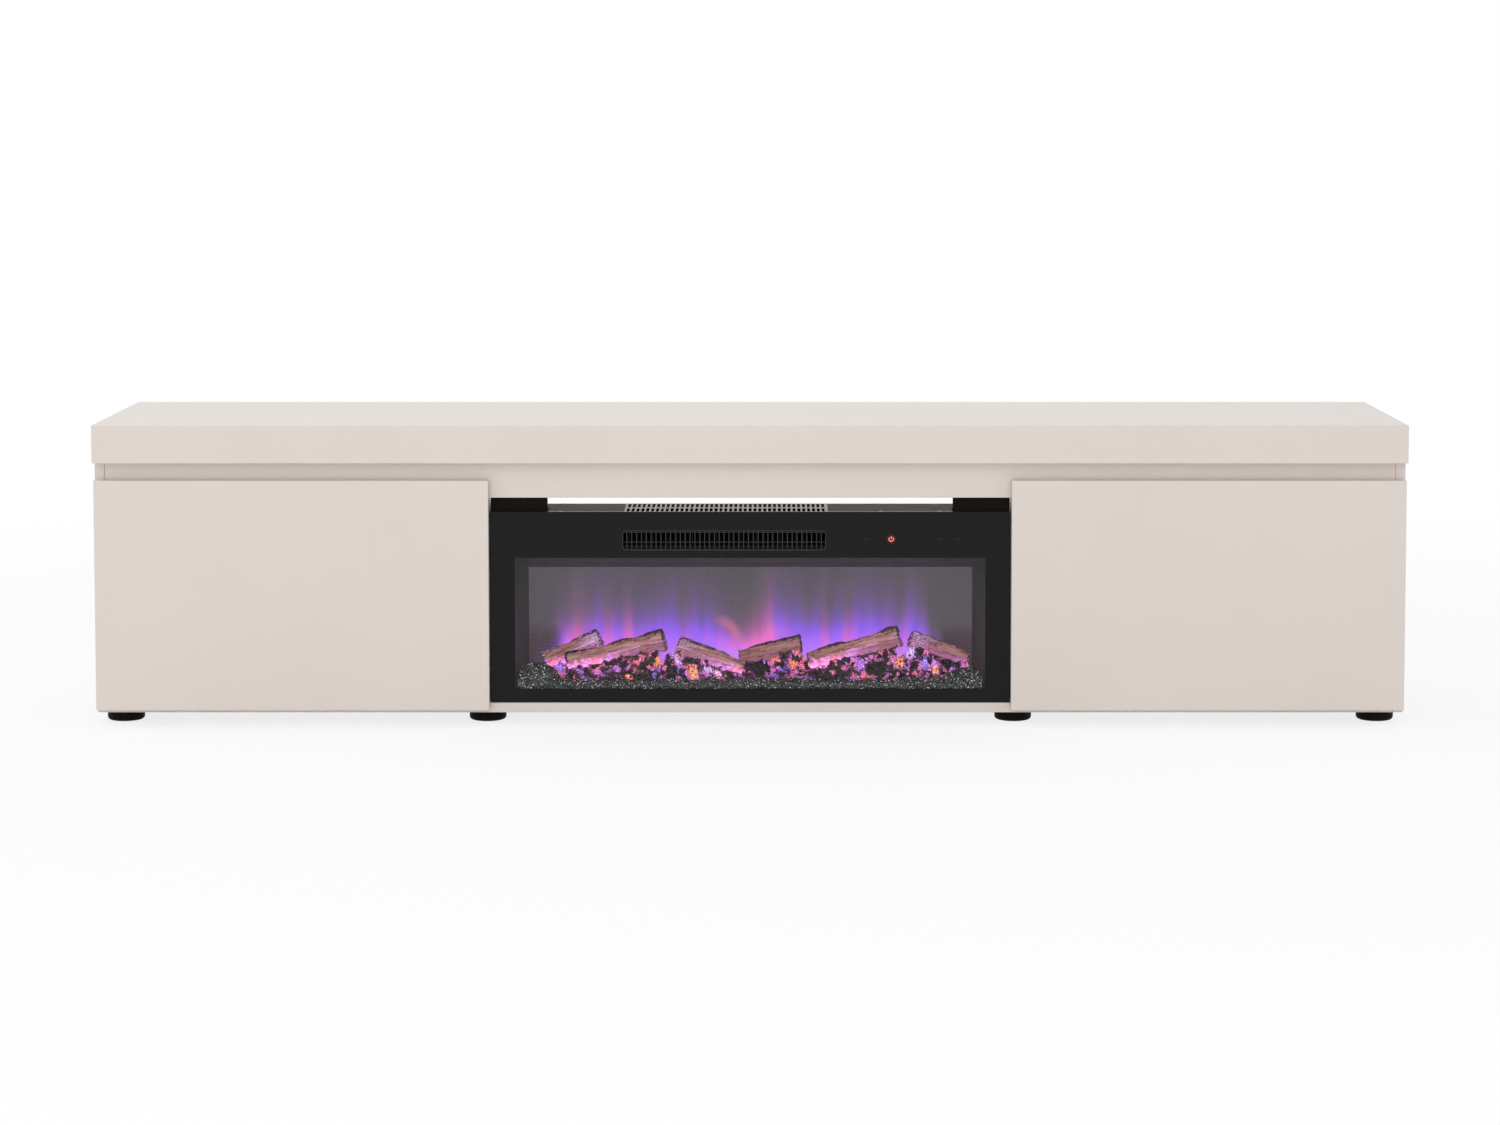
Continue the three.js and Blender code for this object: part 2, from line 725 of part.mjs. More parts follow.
// Logs. Their ends are shares of half the window's width and of its height above its lower edge,
// and they lie in a front row and a rear row, at a share of the hood's depth.
const logTable = [
  { depthShare: rearLogShare, xShares: [-0.88, -0.645], zShares: [0.16, 0.325], radiusShares: [0.9, 1.1] },
  { depthShare: frontLogShare, xShares: [-0.78, -0.37], zShares: [0.18, 0.355], radiusShares: [0.8, 1] },
  { depthShare: frontLogShare, xShares: [-0.315, -0.03], zShares: [0.31, 0.135], radiusShares: [1.1, 0.65] },
  { depthShare: rearLogShare, xShares: [-0.05, 0.22], zShares: [0.19, 0.29], radiusShares: [0.7, 0.9] },
  { depthShare: frontLogShare, xShares: [0.25, 0.635], zShares: [0.19, 0.385], radiusShares: [0.8, 0.95] },
  { depthShare: rearLogShare, xShares: [0.69, 0.935], zShares: [0.34, 0.18], radiusShares: [0.85, 0.65] },
];

// A knobbly, tapering branch along X with flat sawn ends.
function logSolid(length, radii, grow) {
  const places = [];
  const faces = [];
  const half = length / 2 + grow;
  for (let ring = 0; ring <= logRings; ring++) {
    const along = ring / logRings;
    for (let side = 0; side < logSides; side++) {
      const turn = side / logSides * 2 * Math.PI;
      const ridge = 1 + logRidge * Math.sin(3 * turn + 5 * along) * Math.cos(7 * along + turn);
      const radius = (radii[0] + (radii[1] - radii[0]) * along) * ridge + grow;
      places.push(half * (2 * along - 1), radius * Math.cos(turn), radius * Math.sin(turn));
    }
  }
  for (let ring = 0; ring < logRings; ring++) {
    for (let side = 0; side < logSides; side++) {
      const a = ring * logSides + side;
      const b = ring * logSides + (side + 1) % logSides;
      faces.push(a, b, a + logSides, b, b + logSides, a + logSides);
    }
  }
  const last = logRings * logSides;
  for (let side = 1; side < logSides - 1; side++) {
    faces.push(0, side + 1, side);
    faces.push(last, last + side, last + side + 1);
  }
  const geometry = new THREE.BufferGeometry();
  geometry.setAttribute('position', new THREE.Float32BufferAttribute(places, 3));
  geometry.setIndex(faces);
  geometry.computeVertexNormals();
  return geometry;
}

const logs = logTable.map(({ depthShare, xShares, zShares, radiusShares }) => {
  const [x0, x1] = xShares.map((share) => share * halfWindow);
  const [z0, z1] = zShares.map((share) => windowBottomZ + share * (windowTopZ - windowBottomZ));
  return {
    length: Math.hypot(x1 - x0, z1 - z0),
    radii: radiusShares.map((share) => share * logThickness / 2),
    centre: new THREE.Vector3((x0 + x1) / 2, linerFrontY + depthShare * linerDepth, (z0 + z1) / 2),
    tilt: -Math.atan2(z1 - z0, x1 - x0),
  };
});

logs.forEach(({ length, radii, centre, tilt }, index) => {
  const log = add(`log_${index + 1}`, logSolid(length, radii, 0), logBrown);
  log.position.copy(centre);
  log.rotation.y = tilt;
});

// Ember bed: a moulding that rises to the back, and swells up to both ends of each log that lies in it
const emberFrontY = linerFrontY + gravelDepth + clearance;
const emberDepth = screenFrontY - emberBackGap - emberFrontY;
const halfEmber = halfWindow - emberInset;
const logSeats = logs.flatMap(({ centre, length, tilt }) => [-logSeatShare, logSeatShare].map((share) => ({
  x: centre.x + share * length * Math.cos(tilt),
  y: centre.y,
  z: centre.z - share * length * Math.sin(tilt),
})));

function emberTop(x, y) {
  const depthShare = (y - emberFrontY) / emberDepth;
  const rise = (emberBackHeight - emberFrontHeight) * Math.sin(depthShare * Math.PI / 2);
  const ripple = emberRipple * Math.sin(x / emberRipplePitch * 2 * Math.PI) * Math.cos(5 * depthShare);
  const taper = Math.min(1, (halfEmber - Math.abs(x)) / emberEndTaper);
  const plain = fireFloorZ + emberFrontHeight + taper * (rise + ripple);
  const swells = logSeats.map((seat) => {
    const away = ((x - seat.x) / logSeatSpreadX) ** 2 + ((y - seat.y) / logSeatSpreadY) ** 2;
    return (seat.z - plain) * Math.exp(-away);
  });
  return plain + Math.max(...swells);
}

function emberBed() {
  const places = [];
  const faces = [];
  const rowLength = emberStepsX + 1;
  const layerLength = rowLength * (emberStepsY + 1);
  for (const upper of [false, true]) {
    for (let j = 0; j <= emberStepsY; j++) {
      for (let i = 0; i <= emberStepsX; i++) {
        const x = (2 * i / emberStepsX - 1) * halfEmber;
        const y = emberFrontY + j / emberStepsY * emberDepth;
        places.push(x, y, upper ? emberTop(x, y) : fireFloorZ);
      }
    }
  }
  for (let j = 0; j < emberStepsY; j++) {
    for (let i = 0; i < emberStepsX; i++) {
      const a = j * rowLength + i;
      const b = a + 1;
      const c = a + rowLength;
      const d = c + 1;
      faces.push(a, c, b, b, c, d);
      const [e, f, g, h] = [a, b, c, d].map((corner) => corner + layerLength);
      faces.push(e, f, g, f, h, g);
    }
  }
  const wall = (a, b) => faces.push(a, b, b + layerLength, a, b + layerLength, a + layerLength);
  for (let i = 0; i < emberStepsX; i++) {
    wall(i, i + 1);
    wall(emberStepsY * rowLength + i + 1, emberStepsY * rowLength + i);
  }
  for (let j = 0; j < emberStepsY; j++) {
    wall((j + 1) * rowLength, j * rowLength);
    wall(j * rowLength + emberStepsX, (j + 1) * rowLength + emberStepsX);
  }
  const geometry = new THREE.BufferGeometry();
  geometry.setAttribute('position', new THREE.Float32BufferAttribute(places, 3));
  geometry.setIndex(faces);
  const beds = logs.map(({ length, radii, centre, tilt }) =>
    logSolid(length, radii, clearance).rotateY(tilt).translate(centre.x, centre.y, centre.z));
  return cut(geometry, ...beds);
}

add('ember_bed', emberBed(), emberRed);

const gravelBackY = linerFrontY + gravelDepth;
const halfGravel = halfWindow - gravelInset;
const gravelOutline = new THREE.Shape();
gravelOutline.moveTo(linerFrontY, fireFloorZ);
gravelOutline.lineTo(gravelBackY, fireFloorZ);
gravelOutline.lineTo(gravelBackY, fireFloorZ + gravelBackHeight);
gravelOutline.lineTo(linerFrontY, fireFloorZ + gravelFrontHeight);
gravelOutline.closePath();
add('crystal_gravel', runAlongX(gravelOutline, [-halfGravel, halfGravel]), gravelBlack);

// Flame works: a tray with the lights and two bearings, and a spindle of turning paddles
const spindleY = fireBackY - spindleBack;
const spindleZ = fireFloorZ + spindleRise;
const trayBackY = fireBackY - sheet - clearance;
const trayTopZ = fireFloorZ + sheet;
const halfTray = halfHousing - trayInset;
const trayLeftEnd = halfTray - trayLeftInset;
const trayRightEnd = halfTray - trayRightInset;

function flameLedTray() {
  const trayX = [-halfTray, halfTray];
  const trayFrontY = trayBackY - trayDepth;
  const bearingY = [spindleY - trayEndWidth / 2, spindleY + trayEndWidth / 2];
  const bearing = (low, high) => cut(
    box([low, high], bearingY, [fireFloorZ, fireFloorZ + trayEndHeight]),
    rodAlongX(spindleY, spindleZ, spindleRadius + clearance, [low - cutOverrun, high + cutOverrun]));
  return join(
    box(trayX, [trayFrontY, trayBackY], [fireFloorZ, trayTopZ]),
    box(trayX, [trayFrontY, trayFrontY + ledStripWidth], [fireFloorZ, trayTopZ + ledStripHeight]),
    bearing(-trayLeftEnd, sheet - trayLeftEnd),
    bearing(trayRightEnd, trayRightEnd + sheet));
}

add('flame_led_tray', flameLedTray(), greySteel);

function flameSpindle() {
  const start = sheet - trayLeftEnd + 2 * clearance;
  const end = trayRightEnd - 2 * clearance;
  const step = (end - start) / paddleCount;
  const paddleLength = paddleShare * step;
  const rodEnd = trayRightEnd + sheet + shaftSocket - clearance;
  const pieces = [rodAlongX(0, 0, spindleRadius, [-trayLeftEnd, rodEnd])];
  for (let i = 0; i < paddleCount; i++) {
    const middle = start + (i + 1 / 2) * step;
    const paddle = box(
      [middle - paddleLength / 2, middle + paddleLength / 2],
      [-paddleThickness / 2, paddleThickness / 2],
      [-paddleRadius, paddleRadius]);
    pieces.push(paddle.rotateX(i * Math.PI / 3));
  }
  return join(...pieces);
}

add('flame_spindle', flameSpindle(), mirrorFoil).position.set(0, spindleY, spindleZ);

const flameMotorX = trayRightEnd + sheet;
add('flame_motor', cut(
  rodAlongX(spindleY, spindleZ, flameMotorRadius, [flameMotorX, flameMotorX + flameMotorLength]),
  rodAlongX(spindleY, spindleZ, spindleRadius + clearance,
    [flameMotorX - cutOverrun, flameMotorX + shaftSocket])), blackSteel);

// Blower duct: open in front and on top, hung under the cover
const ductY = [glassBackY + ductFront, glassBackY + ductFront + ductDepth];
const axleY = glassBackY + wheelAxisBack;
const axleZ = coverUnderZ - wheelAxisDrop;

function blowerDuct() {
  const whole = box([ductLow, ductHigh], ductY, [coverUnderZ - ductDrop, coverUnderZ]);
  const inside = box(
    [ductLow + sheet, ductHigh - sheet], [ductY[0] - cutOverrun, ductY[1] - sheet],
    [coverUnderZ - ductDrop + sheet, coverUnderZ + cutOverrun]);
  const axleHoles = rodAlongX(
    axleY, axleZ, axleRadius + clearance, [ductLow - cutOverrun, ductHigh + cutOverrun]);
  return cut(whole, inside, axleHoles);
}

add('blower_duct', blowerDuct(), greySteel);

function blowerWheel() {
  const start = ductLow + sheet + wheelEndGap;
  const end = ductHigh - sheet - wheelEndGap;
  const middle = (start + end) / 2;
  const pieces = [rodAlongX(0, 0, axleRadius, [ductLow, ductHigh + shaftSocket - clearance])];
  for (const x of [start, middle - wheelDisc / 2, end - wheelDisc]) {
    pieces.push(rodAlongX(0, 0, wheelRadius, [x, x + wheelDisc], 2 * wheelBlades));
  }
  for (let i = 0; i < wheelBlades; i++) {
    const blade = box(
      [start, end], [-bladeThickness / 2, bladeThickness / 2], [-bladeDepth / 2, bladeDepth / 2]);
    blade.rotateX(bladeSkew).translate(0, 0, wheelRadius - bladeDepth / 2);
    pieces.push(blade.rotateX(i / wheelBlades * 2 * Math.PI));
  }
  return join(...pieces);
}

add('blower_wheel', blowerWheel(), blackPlastic).position.set(0, axleY, axleZ);

add('blower_motor', cut(
  rodAlongX(axleY, axleZ, blowerMotorRadius, [ductHigh, ductHigh + blowerMotorLength], footSegments),
  rodAlongX(axleY, axleZ, axleRadius + clearance,
    [ductHigh - cutOverrun, ductHigh + shaftSocket])), blackSteel);

// Heater: fins between two bars, across the duct behind the outlet
function heaterElement() {
  const [x0, x1] = [ductLow + sheet + clearance, ductHigh - sheet - clearance];
  const yRange = [glassBackY + heaterBack, glassBackY + heaterBack + heaterDepth];
  const low = coverUnderZ - ductDrop + sheet + heaterRise;
  const high = low + heaterHeight;
  const pieces = [
    box([x0, x1], yRange, [low, low + heaterBar]),
    box([x0, x1], yRange, [high - heaterBar, high]),
  ];
  const finCount = Math.floor((x1 - x0) / finPitch);
  for (let i = 0; i <= finCount; i++) {
    const x = x0 + (x1 - x0 - finThickness) * i / finCount;
    pieces.push(box([x, x + finThickness], yRange, [low, high]));
  }
  return join(...pieces);
}

add('heater_element', heaterElement(), zincSteel);

// Control board, close behind the glass
function controlBoard() {
  const front = glassBackY + clearance;
  const back = front + controlThickness;
  const top = glassTopZ - controlDrop;
  const controlLeft = ductHigh + blowerMotorLength;
  const controlRight = halfGlass - controlSideMargin;
  const controlWidth = controlRight - controlLeft;
  const laminate = box([controlLeft, controlRight], [front, back], [top - controlHeight, top]);
  const pieces = [laminate];
  for (const share of chipPlaceShares) {
    const x = controlLeft + share * controlWidth;
    const halfChip = chipWidthShare * controlWidth / 2;
    const middle = top - controlHeight / 2;
    const halfTall = chipHeightShare * controlHeight / 2;
    pieces.push(box(
      [x - halfChip, x + halfChip], [front, back + chipDepth], [middle - halfTall, middle + halfTall]));
  }
  return join(...pieces);
}

add('control_board', controlBoard(), boardGreen);

// Cord gland in the back of the housing
function cordGland() {
  const bore = disc(glandZ, glandX, glandBoreRadius);
  const outerY = fireBackY + clearance;
  const innerY = fireBackY - sheet - clearance;
  return cut(
    join(
      runAlongY(disc(glandZ, glandX, glandShankRadius), [innerY - glandInside, outerY + glandOutside]),
      runAlongY(disc(glandZ, glandX, glandBodyRadius, 6), [outerY, outerY + glandOutside / 2]),
      runAlongY(disc(glandZ, glandX, glandBodyRadius, 6), [innerY - glandInside, innerY])),
    runAlongY(bore, [innerY - glandInside - cutOverrun, outerY + glandOutside + cutOverrun]));
}

add('cord_gland', cordGland(), blackPlastic);

export default part;
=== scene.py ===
import math
import random
from contextlib import contextmanager

import bmesh
import bpy
from mathutils import Euler, Matrix, Vector


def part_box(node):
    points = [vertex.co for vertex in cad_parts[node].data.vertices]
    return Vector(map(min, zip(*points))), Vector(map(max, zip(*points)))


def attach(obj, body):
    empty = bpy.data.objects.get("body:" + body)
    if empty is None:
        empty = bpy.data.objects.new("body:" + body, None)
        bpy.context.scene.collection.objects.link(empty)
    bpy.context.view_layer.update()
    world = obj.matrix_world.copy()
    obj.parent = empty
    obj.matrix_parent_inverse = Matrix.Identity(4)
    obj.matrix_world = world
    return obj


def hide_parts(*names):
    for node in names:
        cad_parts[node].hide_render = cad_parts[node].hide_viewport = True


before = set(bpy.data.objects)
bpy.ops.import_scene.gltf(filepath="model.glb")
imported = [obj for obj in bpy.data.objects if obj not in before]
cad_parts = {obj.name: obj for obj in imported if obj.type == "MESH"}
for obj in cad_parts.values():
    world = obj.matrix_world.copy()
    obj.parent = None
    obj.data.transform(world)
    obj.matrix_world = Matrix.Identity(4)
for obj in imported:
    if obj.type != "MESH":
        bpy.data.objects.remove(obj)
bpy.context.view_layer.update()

# Camera
# The photograph is taken from straight in front, a little under a metre up and some five and a half metres
# away.
CAMERA_PLACE = (0.031, -5.474, 0.975)
CAMERA_LENS = 83.8
CAMERA_SHIFT = (-0.0136, -0.15)
CAMERA_PITCH = math.radians(4.09)
CAMERA_SIGHT = 100

bpy.ops.object.camera_add(location=CAMERA_PLACE, rotation=(math.pi / 2 - CAMERA_PITCH, 0, 0))
camera = bpy.context.object
camera.data.lens = CAMERA_LENS
camera.data.shift_x, camera.data.shift_y = CAMERA_SHIFT
camera.data.clip_end = CAMERA_SIGHT
bpy.context.scene.camera = camera

# Top with its folded front edge
# One foil-wrapped board whose front is folded down to look thick. The fold leaves no joint, so the top and
# the deep front edge are one piece here. All boards share the warm beige satin foil.
FOIL_COLOUR = (0.735, 0.668, 0.618, 1)
FOIL_SHADE_COLOUR = (0.722, 0.653, 0.602, 1)
BOARD_EDGE = 0.0009
SMOOTH_ANGLE = math.radians(35)


class Pattern:
    """A value that may differ from spot to spot. Whatever is worked out from patterns is a pattern too."""

    def __init__(self, socket):
        self.socket = socket
        self.tree = socket.id_data

    def __add__(self, other):
        return work_out("ADD", self, other)

    def __sub__(self, other):
        return work_out("SUBTRACT", self, other)

    def __rsub__(self, other):
        return work_out("SUBTRACT", other, self)

    def __mul__(self, other):
        return work_out("MULTIPLY", self, other)

    def __truediv__(self, other):
        return work_out("DIVIDE", self, other)

    def __abs__(self):
        return work_out("ABSOLUTE", self)


def connect(value, socket):
    """Leads a pattern to a socket, or sets the socket's plain value."""
    if isinstance(value, Pattern):
        value.tree.links.new(value.socket, socket)
    else:
        socket.default_value = value


def add_node(tree, kind, sockets, **settings):
    made = tree.nodes.new(kind)
    for name, value in settings.items():
        setattr(made, name, value)
    for name, value in sockets.items():
        connect(value, made.inputs[name])
    return made


def pattern(tree, kind, sockets, output=0, **settings):
    """One output of a new node."""
    return Pattern(add_node(tree, kind, sockets, **settings).outputs[output])


def combined(kind, sockets, output=0, **settings):
    """One output of a new node that works on patterns, in the tree that they belong to."""
    tree = next(value.tree for value in sockets.values() if isinstance(value, Pattern))
    return pattern(tree, kind, sockets, output, **settings)


def work_out(operation, *values, clamp=False):
    return combined("ShaderNodeMath", dict(enumerate(values)), operation=operation, use_clamp=clamp)


def blend_colours(factor, first, second, how="MIX"):
    return combined("ShaderNodeMix", {0: factor, 6: first, 7: second}, 2, data_type="RGBA", blend_type=how)


def fade(value, start, end):
    """0 at the start and 1 at the end, smoothly between them."""
    return combined("ShaderNodeMapRange", {0: value, 1: start, 2: end}, interpolation_type="SMOOTHSTEP")


def noise(place, size, detail=3.0, roughness=0.55):
    return combined(
        "ShaderNodeTexNoise", {"Vector": place, "Scale": size, "Detail": detail, "Roughness": roughness})


def object_place(tree, stretch=None, turn=(0, 0, 0), centre=(0, 0, 0)):
    """The place on the object, as a pattern reads it: moved, turned and then stretched."""
    place = pattern(tree, "ShaderNodeTexCoord", {}, "Object")
    if stretch is None:
        return place
    moved = combined("ShaderNodeVectorMath", {0: place, 1: centre}, operation="SUBTRACT")
    turned = combined("ShaderNodeMapping", {"Vector": moved, "Rotation": turn}, vector_type="POINT")
    return combined("ShaderNodeVectorMath", {0: turned, 1: stretch}, operation="MULTIPLY")


def new_material(name, **plain):
    """A material with one Principled shader. Plain values go straight onto its sockets."""
    material = bpy.data.materials.new(name)
    material.use_nodes = True
    shader = material.node_tree.nodes["Principled BSDF"]
    for socket, value in plain.items():
        shader.inputs[socket.replace("_", " ")].default_value = value
    return material, material.node_tree, shader


def bump(shader, height, strength, distance):
    relief = combined("ShaderNodeBump", {"Height": height, "Strength": strength, "Distance": distance})
    connect(relief, shader.inputs["Normal"])


def new_group(name, inputs, outputs):
    """An empty node group with named inputs, given with their first values, and named outputs."""
    group = bpy.data.node_groups.new(name, "ShaderNodeTree")
    for label, value in inputs.items():
        kind = "NodeSocketColor" if isinstance(value, tuple) else "NodeSocketFloat"
        group.interface.new_socket(label, in_out="INPUT", socket_type=kind).default_value = value
    for label, kind in outputs.items():
        group.interface.new_socket(label, in_out="OUTPUT", socket_type=kind)
    given = group.nodes.new("NodeGroupInput").outputs
    result = group.nodes.new("NodeGroupOutput").inputs
    return group, {label: Pattern(given[label]) for label in inputs}, result


# Soft clouds of tone and a fine grain, which every finish on the stand shows to some degree
grain_group, given, result = new_group(
    "handled_surface",
    {"Colour": (1, 1, 1, 1), "Shade": (0, 0, 0, 1), "Roughness": 0.5, "Cloud size": 3.0, "Grain size": 700.0,
     "Spread": 0.06},
    {"Colour": "NodeSocketColor", "Roughness": "NodeSocketFloat", "Height": "NodeSocketFloat"})
spot = object_place(grain_group)
cloud = noise(spot, given["Cloud size"], 4.0)
smudge = noise(spot, given["Cloud size"] * 6.0, 5.0)
connect(blend_colours(fade(cloud, 0.35, 0.68), given["Colour"], given["Shade"]), result["Colour"])
connect(given["Roughness"] + (smudge - 0.5) * given["Spread"], result["Roughness"])
connect(noise(spot, given["Grain size"], 2.0), result["Height"])


def surfaced(name, colour, shade, roughness, cloud_size, grain_size, grain_strength, spread=0.06, **plain):
    """A finish with the shared clouds and grain."""
    material, tree, shader = new_material(name, **plain)
    made = add_node(tree, "ShaderNodeGroup", {}, node_tree=grain_group)
    for label, value in (
            ("Colour", colour), ("Shade", shade), ("Roughness", roughness), ("Cloud size", cloud_size),
            ("Grain size", grain_size), ("Spread", spread)):
        made.inputs[label].default_value = value
    connect(Pattern(made.outputs["Colour"]), shader.inputs["Base Color"])
    connect(Pattern(made.outputs["Roughness"]), shader.inputs["Roughness"])
    bump(shader, Pattern(made.outputs["Height"]), grain_strength, 1 / grain_size)
    return material


foil = surfaced(
    "cashmere_foil", FOIL_COLOUR, FOIL_SHADE_COLOUR, roughness=0.36, cloud_size=3.0, grain_size=700.0,
    grain_strength=0.035)


def alone(piece):
    """Selects one piece and makes it the active one."""
    bpy.ops.object.select_all(action="DESELECT")
    piece.select_set(True)
    bpy.context.view_layer.objects.active = piece


@contextmanager
def edited(piece, kind="VERT"):
    """Opens one piece's mesh with all of it selected, and closes it again afterwards."""
    alone(piece)
    bpy.ops.object.mode_set(mode="EDIT")
    bpy.ops.mesh.select_mode(type=kind)
    bpy.ops.mesh.select_all(action="SELECT")
    yield
    bpy.ops.object.mode_set(mode="OBJECT")


def choose(piece, kind, test):
    """In edit mode, selects only the corners, edges or faces that pass the test."""
    shape = bmesh.from_edit_mesh(piece.data)
    for part in (*shape.verts, *shape.edges, *shape.faces):
        part.select = False
    for part in getattr(shape, kind):
        if test(part):
            part.select_set(True)
    bmesh.update_edit_mesh(piece.data)


def named(name):
    """Names the primitive just added and settles its place in its mesh."""
    piece = bpy.context.object
    piece.name = piece.data.name = name
    bpy.ops.object.transform_apply(location=True, rotation=True, scale=True)
    return piece


def block(name, low, high):
    low, high = Vector(low), Vector(high)
    bpy.ops.mesh.primitive_cube_add(size=1, location=(low + high) / 2)
    bpy.context.object.scale = high - low
    return named(name)


def rod(name, radius, start, end, vertices):
    """A round bar between two points."""
    start, end = Vector(start), Vector(end)
    bpy.ops.mesh.primitive_cylinder_add(
        vertices=vertices, radius=radius, depth=(end - start).length, location=(start + end) / 2,
        rotation=(end - start).to_track_quat("Z", "Y").to_euler())
    return named(name)


def run_modifier(piece, kind, **settings):
    alone(piece)
    made = piece.modifiers.new(kind.lower(), kind)
    for name, value in settings.items():
        setattr(made, name, value)
    bpy.ops.object.modifier_apply(modifier=made.name)


def soften(piece, width, segments=3):
    """Rounds every sharp edge, as the banding or the tool leaves it."""
    run_modifier(piece, "BEVEL", width=width, segments=segments, limit_method="ANGLE",
                 angle_limit=SMOOTH_ANGLE, use_clamp_overlap=True)
    bpy.ops.object.shade_smooth_by_angle(angle=SMOOTH_ANGLE)
    run_modifier(piece, "WEIGHTED_NORMAL", keep_sharp=True)


def carve(piece, cutter, operation="DIFFERENCE"):
    run_modifier(piece, "BOOLEAN", object=cutter, operation=operation, solver="EXACT")
    bpy.data.objects.remove(cutter)


def unite(name, pieces):
    alone(pieces[0])
    for piece in pieces:
        piece.select_set(True)
    bpy.ops.object.join()
    joined = bpy.context.object
    joined.name = joined.data.name = name
    return joined


def hand_over(piece, material, body, slot, *nodes):
    """The piece gets its finish and its body, and stands for its nodes, which are hidden. The slot is not
    used.
    """
    piece.data.materials.clear()
    piece.data.materials.append(material)
    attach(piece, body)
    if nodes:
        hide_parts(*nodes)
    return piece


def coat(material, *nodes):
    """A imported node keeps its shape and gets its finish."""
    for node in nodes:
        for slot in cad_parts[node].material_slots:
            slot.material = material


top_low, top_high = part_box("top_board")
fascia_low, fascia_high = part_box("top_front_fascia")
top = block("top_with_folded_front", top_low, top_high)
with edited(top, "FACE"):
    bpy.ops.mesh.bisect(plane_co=fascia_high, plane_no=(0, 1, 0))
    choose(top, "faces", lambda face: face.normal.z < -0.5 and face.calc_center_median().y < fascia_high.y)
    bpy.ops.mesh.extrude_region_move(TRANSFORM_OT_translate={"value": (0, 0, fascia_low.z - top_low.z)})
soften(top, BOARD_EDGE)
hand_over(top, foil, "cabinet", "cashmere_board", "top_board", "top_front_fascia")

# Rail, bottom and rear stretcher
# Plain 15 mm boards between the sides, edge-banded. The rail shows as a recessed band under the top and is
# the upper edge of the fire's bay.
JOINT_GAP = 0.0003


def banded_board(node, inset=(0, 0, 0)):
    """A board with softened banding, drawn back a hair from the boards that it is butted against."""
    low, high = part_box(node)
    piece = block(f"{node}_banded", low + Vector(inset), high - Vector(inset))
    soften(piece, BOARD_EDGE)
    return hand_over(piece, foil, "cabinet", "cashmere_board", node)


for node in ("front_rail", "bottom_panel", "rear_stretcher"):
    banded_board(node, (JOINT_GAP, 0, 0))

# Side panels and partitions
# The sides stand outside the bottom and run up to the top. The partitions stand on the bottom and are notched
# round the rail at their upper front corner.
SIDES = ("left", "right")

for side_name in SIDES:
    banded_board(f"{side_name}_side_panel")
rail_low, rail_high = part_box("front_rail")
for side_name in SIDES:
    node = f"{side_name}_partition"
    low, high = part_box(node)
    partition = block(f"{node}_banded", low, high)
    carve(partition, block(
        "notch", (low.x - BOARD_EDGE, low.y - BOARD_EDGE, rail_low.z),
        (high.x + BOARD_EDGE, rail_high.y, high.z + BOARD_EDGE)))
    soften(partition, BOARD_EDGE)
    hand_over(partition, foil, "cabinet", "cashmere_board", node)

# Back panels
# Thin painted hardboard pinned over the rear edges of each side compartment. Its outer face has a faint weave
# from the press, and small round pin heads follow its edges.
PIN_RADIUS = 0.0022
PIN_HEIGHT = 0.0006
PIN_CORNERS = 10
PIN_INSET = 0.0075
PIN_PITCH = 0.095

hardboard = surfaced(
    "painted_hardboard", (0.66, 0.605, 0.555, 1), (0.64, 0.585, 0.535, 1), roughness=0.68, cloud_size=5.0,
    grain_size=260.0, grain_strength=0.3)
coat(hardboard, "left_back_panel", "right_back_panel")
zinc = surfaced(
    "zinc_plated_steel", (0.72, 0.73, 0.74, 1), (0.6, 0.62, 0.64, 1), roughness=0.34, cloud_size=90.0,
    grain_size=1500.0, grain_strength=0.12, spread=0.25, Metallic=1.0)


def spaced(start, end, pitch):
    count = max(1, round((end - start) / pitch))
    return [start + (end - start) * step / count for step in range(count + 1)]


def copy_of(master, name, placing):
    """A copy with a mesh of its own, put in its place by a matrix."""
    piece = master.copy()
    piece.data = master.data.copy()
    piece.name = piece.data.name = name
    piece.data.transform(placing)
    bpy.context.collection.objects.link(piece)
    return piece


pin = rod("pin_head", PIN_RADIUS, (0, 0, 0), (0, PIN_HEIGHT, 0), PIN_CORNERS)
soften(pin, PIN_HEIGHT * 0.6, 1)
for side_name in SIDES:
    low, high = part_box(f"{side_name}_back_panel")
    face = high.y - PIN_HEIGHT
    columns = spaced(low.x + PIN_INSET, high.x - PIN_INSET, PIN_PITCH)
    rows = spaced(low.z + PIN_INSET, high.z - PIN_INSET, PIN_PITCH)
    places = [(x, face, z) for x in columns for z in (rows[0], rows[-1])]
    places += [(x, face, z) for x in (columns[0], columns[-1]) for z in rows[1:-1]]
    pins = unite(f"{side_name}_back_pins", [
        copy_of(pin, "pin_head", Matrix.Translation(place)) for place in places])
    hand_over(pins, zinc, "cabinet", "hinge_steel")
bpy.data.objects.remove(pin)

# Feet
# Round black moulded feet with a rounded lower edge and a shallow groove under the board. A thin glide is let
# into the underside.
FOOT_LOWER_EDGE = 0.005
FOOT_EDGE_STEPS = 6
FOOT_UPPER_EDGE = 0.0006
FOOT_GROOVE = (0.015, 0.016)
FOOT_GROOVE_DEPTH = 0.0008
FOOT_CORNERS = 64
FOOT_GLIDE_RADIUS = 0.02
FOOT_GLIDE_RECESS = 0.0006

black_plastic = surfaced(
    "black_moulded_plastic", (0.0055, 0.005, 0.0046, 1), (0.008, 0.0072, 0.0066, 1), roughness=0.55,
    cloud_size=30.0, grain_size=1400.0, grain_strength=0.2, Specular_IOR_Level=0.06)


